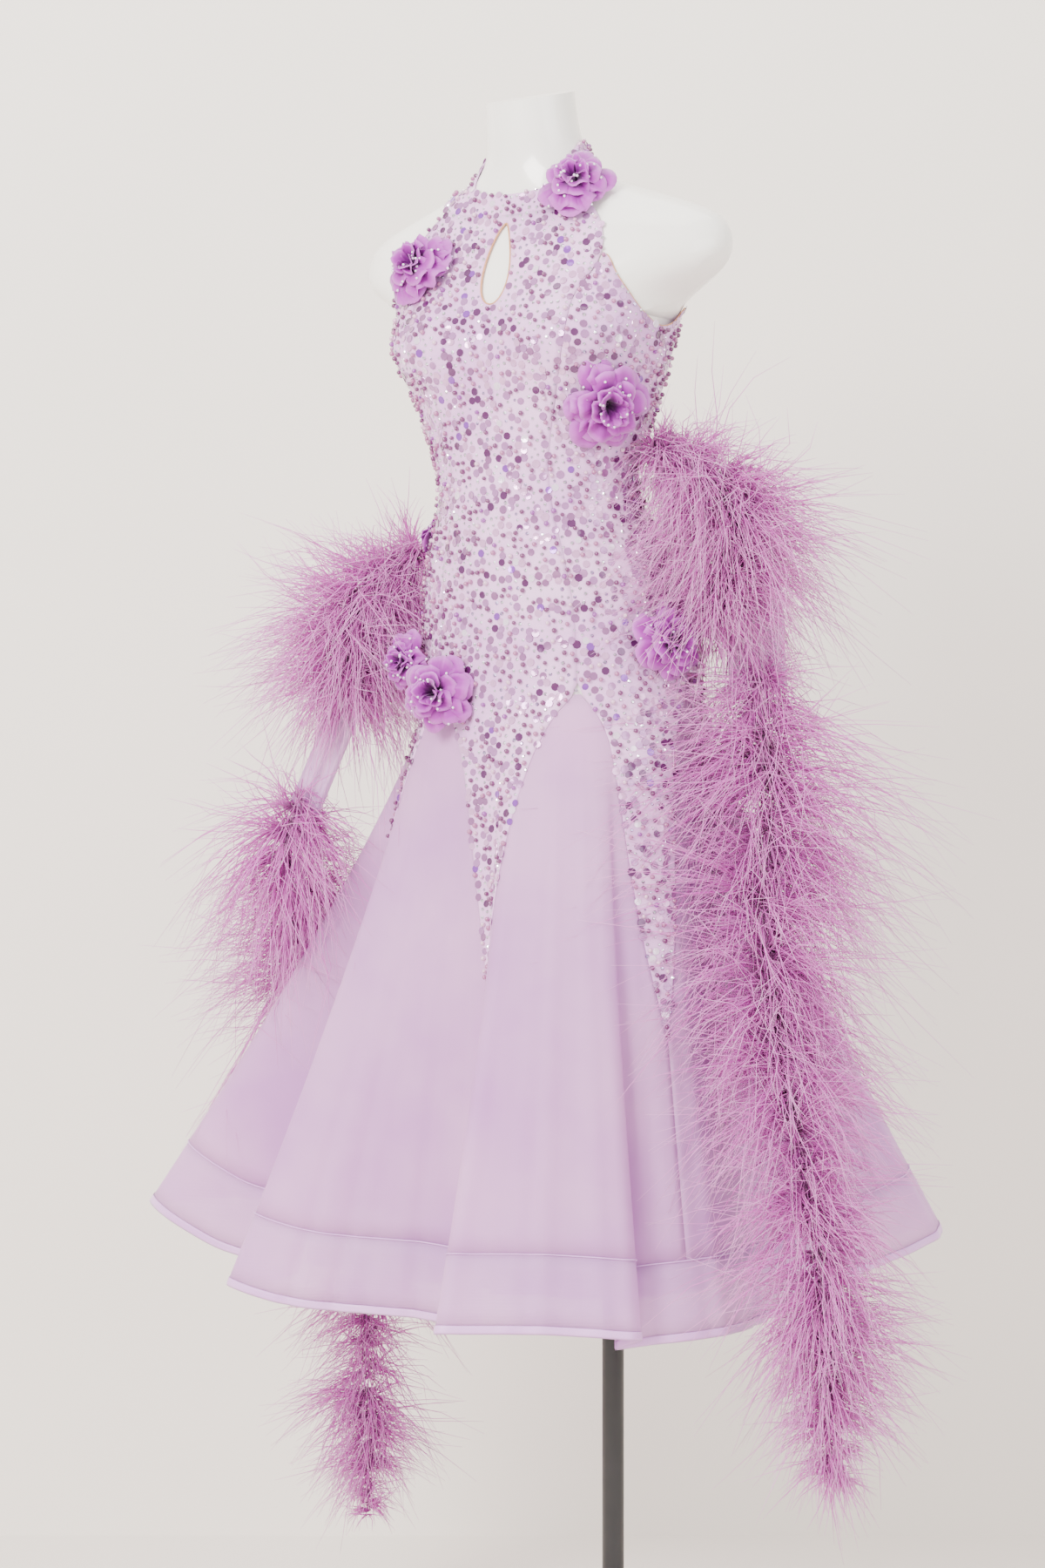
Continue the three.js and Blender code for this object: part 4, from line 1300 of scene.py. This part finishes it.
def make_boa(name, line, count, material, seed, table):
    """Ostrich barbs that spring from the quill in tufts, arch over and curl, as one joined mesh."""
    random = np.random.default_rng(seed)
    line = np.array(line, float)
    keys = np.arange(len(line), dtype=float)
    length = np.concatenate([[0], np.cumsum(np.linalg.norm(np.diff(line[:, :3], axis=0), axis=1))])
    tufts = count // 15
    tuft = random.integers(0, tufts, count)
    spread = np.interp(random.random(tufts) * length[-1], length, keys)[tuft]

    def along_line(place):
        return np.stack([between(keys, line[:, i], place) for i in range(3)], 1)

    centre, reach = along_line(spread), between(keys, line[:, 3], spread)
    ahead = along_line(np.minimum(spread + 0.1, keys[-1])) - along_line(np.maximum(spread - 0.1, 0))
    ahead /= np.linalg.norm(ahead, axis=1, keepdims=True) + 1e-9
    way = random.normal(size=(tufts, 3))[tuft] + 0.6 * random.normal(size=(count, 3))
    way -= ahead * (way * ahead).sum(1, keepdims=True) * 0.6
    way /= np.linalg.norm(way, axis=1, keepdims=True)
    long = reach * (0.6 + 0.5 * random.random(count) ** 0.8)
    bend = random.normal(size=(tufts, 3))[tuft] + 0.5 * random.normal(size=(count, 3))
    curl = random.normal(size=(count, 3))
    phase = random.random(count) * 6.28
    droop = np.array([0, 0, -1.0]) * (0.22 + 0.5 * random.random(count))[:, None]
    steps = 4
    spine = []
    for step in range(steps + 1):
        s = step / steps
        move = way * (1.04 * s - 0.1 * s**3) + bend * 0.3 * s**2 + droop * s**2.2
        move = move + curl * (0.09 * np.sin(s * 5 + phase) * s)[:, None]
        spine.append(centre + move * long[:, None])
    spine = np.stack(spine, 1)
    move = spine - centre[:, None]
    to_left = (BARB_ROOM[1] - centre[:, 0]) / np.maximum(move[..., 0].max(1), 1)
    to_right = (centre[:, 0] - BARB_ROOM[0]) / np.maximum(-move[..., 0].min(1), 1)
    trim = np.minimum(1, np.minimum(to_left, to_right))
    spine = keep_outside(centre[:, None] + move * trim[:, None, None], table)
    tangent = np.gradient(spine, axis=1)
    tangent /= np.linalg.norm(tangent, axis=2, keepdims=True) + 1e-9
    side = np.cross(tangent, random.normal(size=(count, 1, 3)))
    side /= np.linalg.norm(side, axis=2, keepdims=True) + 1e-9
    other = np.cross(tangent, side)
    share = np.linspace(0, 1, steps + 1)
    width = (0.62 * (1 - share) ** 0.6 + 0.16)[None, :, None]
    rings = [spine + (side * math.cos(t) + other * math.sin(t)) * width for t in (0, 2.094, 4.189)]
    points = np.stack(rings, 2).reshape(count, -1, 3)
    unit = []
    for step in range(steps):
        for corner in range(3):
            a, b = step * 3 + corner, step * 3 + (corner + 1) % 3
            unit += [(a, b, b + 3), (a, b + 3, a + 3)]
    unit += [(0, 2, 1), (steps * 3, steps * 3 + 1, steps * 3 + 2)]
    corners = (steps + 1) * 3
    faces = (np.array(unit)[None] + (np.arange(count) * corners)[:, None, None]).reshape(-1, 3)
    piece = mesh_of(name, points.reshape(-1, 3) * MM, faces)
    # the second UV number runs from quill to tip and sets each barb's painted shade and highlight
    set_lot(piece, corners, random.random(count), "barb", np.tile(np.repeat(share, 3), count))
    shade_smooth(piece)
    return own(piece, name + "_barbs", material, name)


def make_boas(settings):
    """The four lengths of feather boa."""
    material, table = feather_barbs(), body_reach()
    for number, (name, line) in enumerate(BOAS.items()):
        full = round(BARBS[name] * settings.fullness)
        count = full
        make_boa(name, line, count, material, 40 + number, table)


def make_small_parts():
    """The nickel finish of the collar's hook."""
    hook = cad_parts["collar_hook"]
    hook.data.materials.clear()
    hook.data.materials.append(bright_nickel())


# ---- Stage ----


def make_stage():
    """The floor, the wall, the lights and the camera."""
    turn = VIEW
    toward = np.array([math.sin(turn), -math.cos(turn), 0])
    right = np.array([math.cos(turn), math.sin(turn), 0])
    clear_selection()
    bpy.ops.mesh.primitive_plane_add(size=14)
    floor = bpy.context.object
    floor.name = "floor"
    floor.data.materials.append(stage_paint("floor_paint", (236, 229, 221)))
    clear_selection()
    bpy.ops.mesh.primitive_plane_add(size=2)
    wall = bpy.context.object
    wall.name = "wall"
    back = -toward * 0.8
    corners = [back + right * x + np.array([0, 0, z]) for x, z in ((-7, 0), (7, 0), (-7, 6), (7, 6))]
    set_points(wall.data, np.array(corners))
    wall.data.materials.append(stage_paint("wall_paint", (243, 237, 228)))

    def lamp(name, place, aim, size, power, colour):
        data = bpy.data.lights.new(name, "AREA")
        data.size, data.energy, data.color = size, power, colour
        item = bpy.data.objects.new(name, data)
        bpy.context.scene.collection.objects.link(item)
        item.location = place
        direction = np.array(aim) - np.array(place)
        item.rotation_euler = Vector(direction).to_track_quat("-Z", "Y").to_euler()

    middle = (0, -0.1, 1.0)
    lamp("key", tuple(toward * 2.6 - right * 1.9 + [0, 0, 2.5]), middle, 1.5, 205, (1.0, 0.975, 0.95))
    lamp("fill", tuple(toward * 3.0 + right * 2.4 + [0, 0, 1.6]), middle, 2.4, 70, (0.97, 0.98, 1.0))
    lamp("top", (0.0, -0.3, 3.6), middle, 2.2, 54, (1.0, 0.98, 0.96))
    world = bpy.data.worlds.new("studio")
    world.use_nodes = True
    ground = world.node_tree.nodes["Background"]
    ground.inputs["Color"].default_value = (0.92, 0.89, 0.86, 1)
    ground.inputs["Strength"].default_value = 1.55
    bpy.context.scene.world = world

    data = bpy.data.cameras.new("camera")
    data.lens, data.sensor_width, data.clip_end = CAMERA["lens"], CAMERA["sensor"], 60
    camera = bpy.data.objects.new("camera", data)
    bpy.context.scene.collection.objects.link(camera)
    place = toward * CAMERA["distance"] - right * CAMERA["aside"]
    camera.location = tuple(place + [0, 0, CAMERA["height"]])
    camera.rotation_euler = (math.radians(90), 0, turn)
    bpy.context.scene.camera = camera


# ---- Add-on ----


class DressSettings(bpy.types.PropertyGroup):
    """The colours and sizes that a user would change"""

    cloth: bpy.props.FloatVectorProperty(
        name="Cloth",
        description="Colour of the stretch cloth where it is pale",
        default=(230 / 255, 184 / 255, 230 / 255),
        subtype="COLOR_GAMMA",
        size=3,
        min=0,
        max=1,
    )
    cloth_shade: bpy.props.FloatVectorProperty(
        name="Cloth shade",
        description="Colour of the stretch cloth where it is deep",
        default=(212 / 255, 156 / 255, 216 / 255),
        subtype="COLOR_GAMMA",
        size=3,
        min=0,
        max=1,
    )
    skirt: bpy.props.FloatVectorProperty(
        name="Godets",
        description="Colour of the sheer godets where they are pale",
        default=(238 / 255, 190 / 255, 236 / 255),
        subtype="COLOR_GAMMA",
        size=3,
        min=0,
        max=1,
    )
    skirt_shade: bpy.props.FloatVectorProperty(
        name="Godet shade",
        description="Colour of the sheer godets where they are deep",
        default=(224 / 255, 166 / 255, 228 / 255),
        subtype="COLOR_GAMMA",
        size=3,
        min=0,
        max=1,
    )
    stones: bpy.props.IntProperty(
        name="Stones",
        description="The most sequins, pearls and stones on the sheath",
        default=7600,
        min=100,
        max=9000,
    )
    stone_spacing: bpy.props.FloatProperty(
        name="Stone spacing",
        description="Least distance between two stones",
        default=0.0066,
        min=0.004,
        max=0.03,
        unit="LENGTH",
        precision=4,
    )
    rose_pearls: bpy.props.IntProperty(
        name="Rose pearls",
        description="Pearls on the petals of each rose",
        default=34,
        min=1,
        max=80,
    )
    fullness: bpy.props.FloatProperty(
        name="Feather fullness",
        description="Share of the usual number of feather barbs",
        default=1.0,
        min=0.1,
        max=1.1,
        subtype="FACTOR",
    )


class DRESS_OT_form(bpy.types.Operator):
    """Make the smooth gloss torso form"""

    bl_idname = "dress.form"
    bl_label = "Torso form"

    def execute(self, context):
        make_form()
        return {"FINISHED"}


class DRESS_OT_stand(bpy.types.Operator):
    """Make the base plate, pole and socket"""

    bl_idname = "dress.stand"
    bl_label = "Stand"

    def execute(self, context):
        make_stand()
        return {"FINISHED"}


class DRESS_OT_sheath(bpy.types.Operator):
    """Make the six gores and the collar"""

    bl_idname = "dress.sheath"
    bl_label = "Sheath"

    def execute(self, context):
        make_sheath(context.scene.dress_settings)
        return {"FINISHED"}


class DRESS_OT_edges(bpy.types.Operator):
    """Bind the keyhole and the armholes"""

    bl_idname = "dress.edges"
    bl_label = "Edges"

    def execute(self, context):
        make_edges()
        return {"FINISHED"}


class DRESS_OT_stones(bpy.types.Operator):
    """Set sequins, pearls and cut stones"""

    bl_idname = "dress.stones"
    bl_label = "Stones"

    def execute(self, context):
        make_stones(context.scene.dress_settings)
        return {"FINISHED"}


class DRESS_OT_godets(bpy.types.Operator):
    """Make the six sheer godets"""

    bl_idname = "dress.godets"
    bl_label = "Godets"

    def execute(self, context):
        make_godets(context.scene.dress_settings)
        return {"FINISHED"}


class DRESS_OT_hem(bpy.types.Operator):
    """Make the horsehair braid and its ribbon"""

    bl_idname = "dress.hem"
    bl_label = "Hem"

    def execute(self, context):
        make_hem()
        return {"FINISHED"}


class DRESS_OT_underskirt(bpy.types.Operator):
    """Make the inner skirt"""

    bl_idname = "dress.underskirt"
    bl_label = "Underskirt"

    def execute(self, context):
        make_underskirt()
        return {"FINISHED"}


class DRESS_OT_roses(bpy.types.Operator):
    """Make the fabric roses"""

    bl_idname = "dress.roses"
    bl_label = "Roses"

    def execute(self, context):
        make_roses(context.scene.dress_settings)
        return {"FINISHED"}


class DRESS_OT_floats(bpy.types.Operator):
    """Hang the chiffon floats"""

    bl_idname = "dress.floats"
    bl_label = "Floats"

    def execute(self, context):
        make_floats()
        return {"FINISHED"}


class DRESS_OT_boas(bpy.types.Operator):
    """Make the feather boas"""

    bl_idname = "dress.boas"
    bl_label = "Boas"

    def execute(self, context):
        make_boas(context.scene.dress_settings)
        return {"FINISHED"}


class DRESS_OT_small_parts(bpy.types.Operator):
    """Finish the hook"""

    bl_idname = "dress.small_parts"
    bl_label = "Small parts"

    def execute(self, context):
        make_small_parts()
        return {"FINISHED"}


class DRESS_OT_stage(bpy.types.Operator):
    """Add the floor, lights and camera"""

    bl_idname = "dress.stage"
    bl_label = "Stage"

    def execute(self, context):
        make_stage()
        return {"FINISHED"}


PIECES = (
    DRESS_OT_form,
    DRESS_OT_stand,
    DRESS_OT_sheath,
    DRESS_OT_edges,
    DRESS_OT_stones,
    DRESS_OT_godets,
    DRESS_OT_hem,
    DRESS_OT_underskirt,
    DRESS_OT_roses,
    DRESS_OT_floats,
    DRESS_OT_boas,
    DRESS_OT_small_parts,
    DRESS_OT_stage,
)


class DRESS_PT_panel(bpy.types.Panel):
    """Lists the steps that build the dress"""

    bl_label = "Dress"
    bl_idname = "DRESS_PT_panel"
    bl_space_type = "VIEW_3D"
    bl_region_type = "UI"
    bl_category = "Dress"

    def draw(self, context):
        settings = context.scene.dress_settings
        for name in ("cloth", "cloth_shade", "skirt", "skirt_shade"):
            self.layout.prop(settings, name)
        for name in ("stones", "stone_spacing", "rose_pearls", "fullness"):
            self.layout.prop(settings, name)
        for piece in PIECES:
            self.layout.operator(piece.bl_idname)


CLASSES = (DressSettings, *PIECES, DRESS_PT_panel)


def register():
    """Adds the dress's classes and settings."""
    for item in CLASSES:
        bpy.utils.register_class(item)
    bpy.types.Scene.dress_settings = bpy.props.PointerProperty(type=DressSettings)


def unregister():
    """Takes the dress's classes and settings away."""
    del bpy.types.Scene.dress_settings
    for item in reversed(CLASSES):
        bpy.utils.unregister_class(item)


def main():
    """Builds every piece and the stage."""
    register()
    bpy.ops.dress.form()
    bpy.ops.dress.stand()
    bpy.ops.dress.sheath()
    bpy.ops.dress.edges()
    bpy.ops.dress.stones()
    bpy.ops.dress.godets()
    bpy.ops.dress.hem()
    bpy.ops.dress.underskirt()
    bpy.ops.dress.roses()
    bpy.ops.dress.floats()
    bpy.ops.dress.boas()
    bpy.ops.dress.small_parts()
    bpy.ops.dress.stage()


if __name__ == "__main__":
    main()
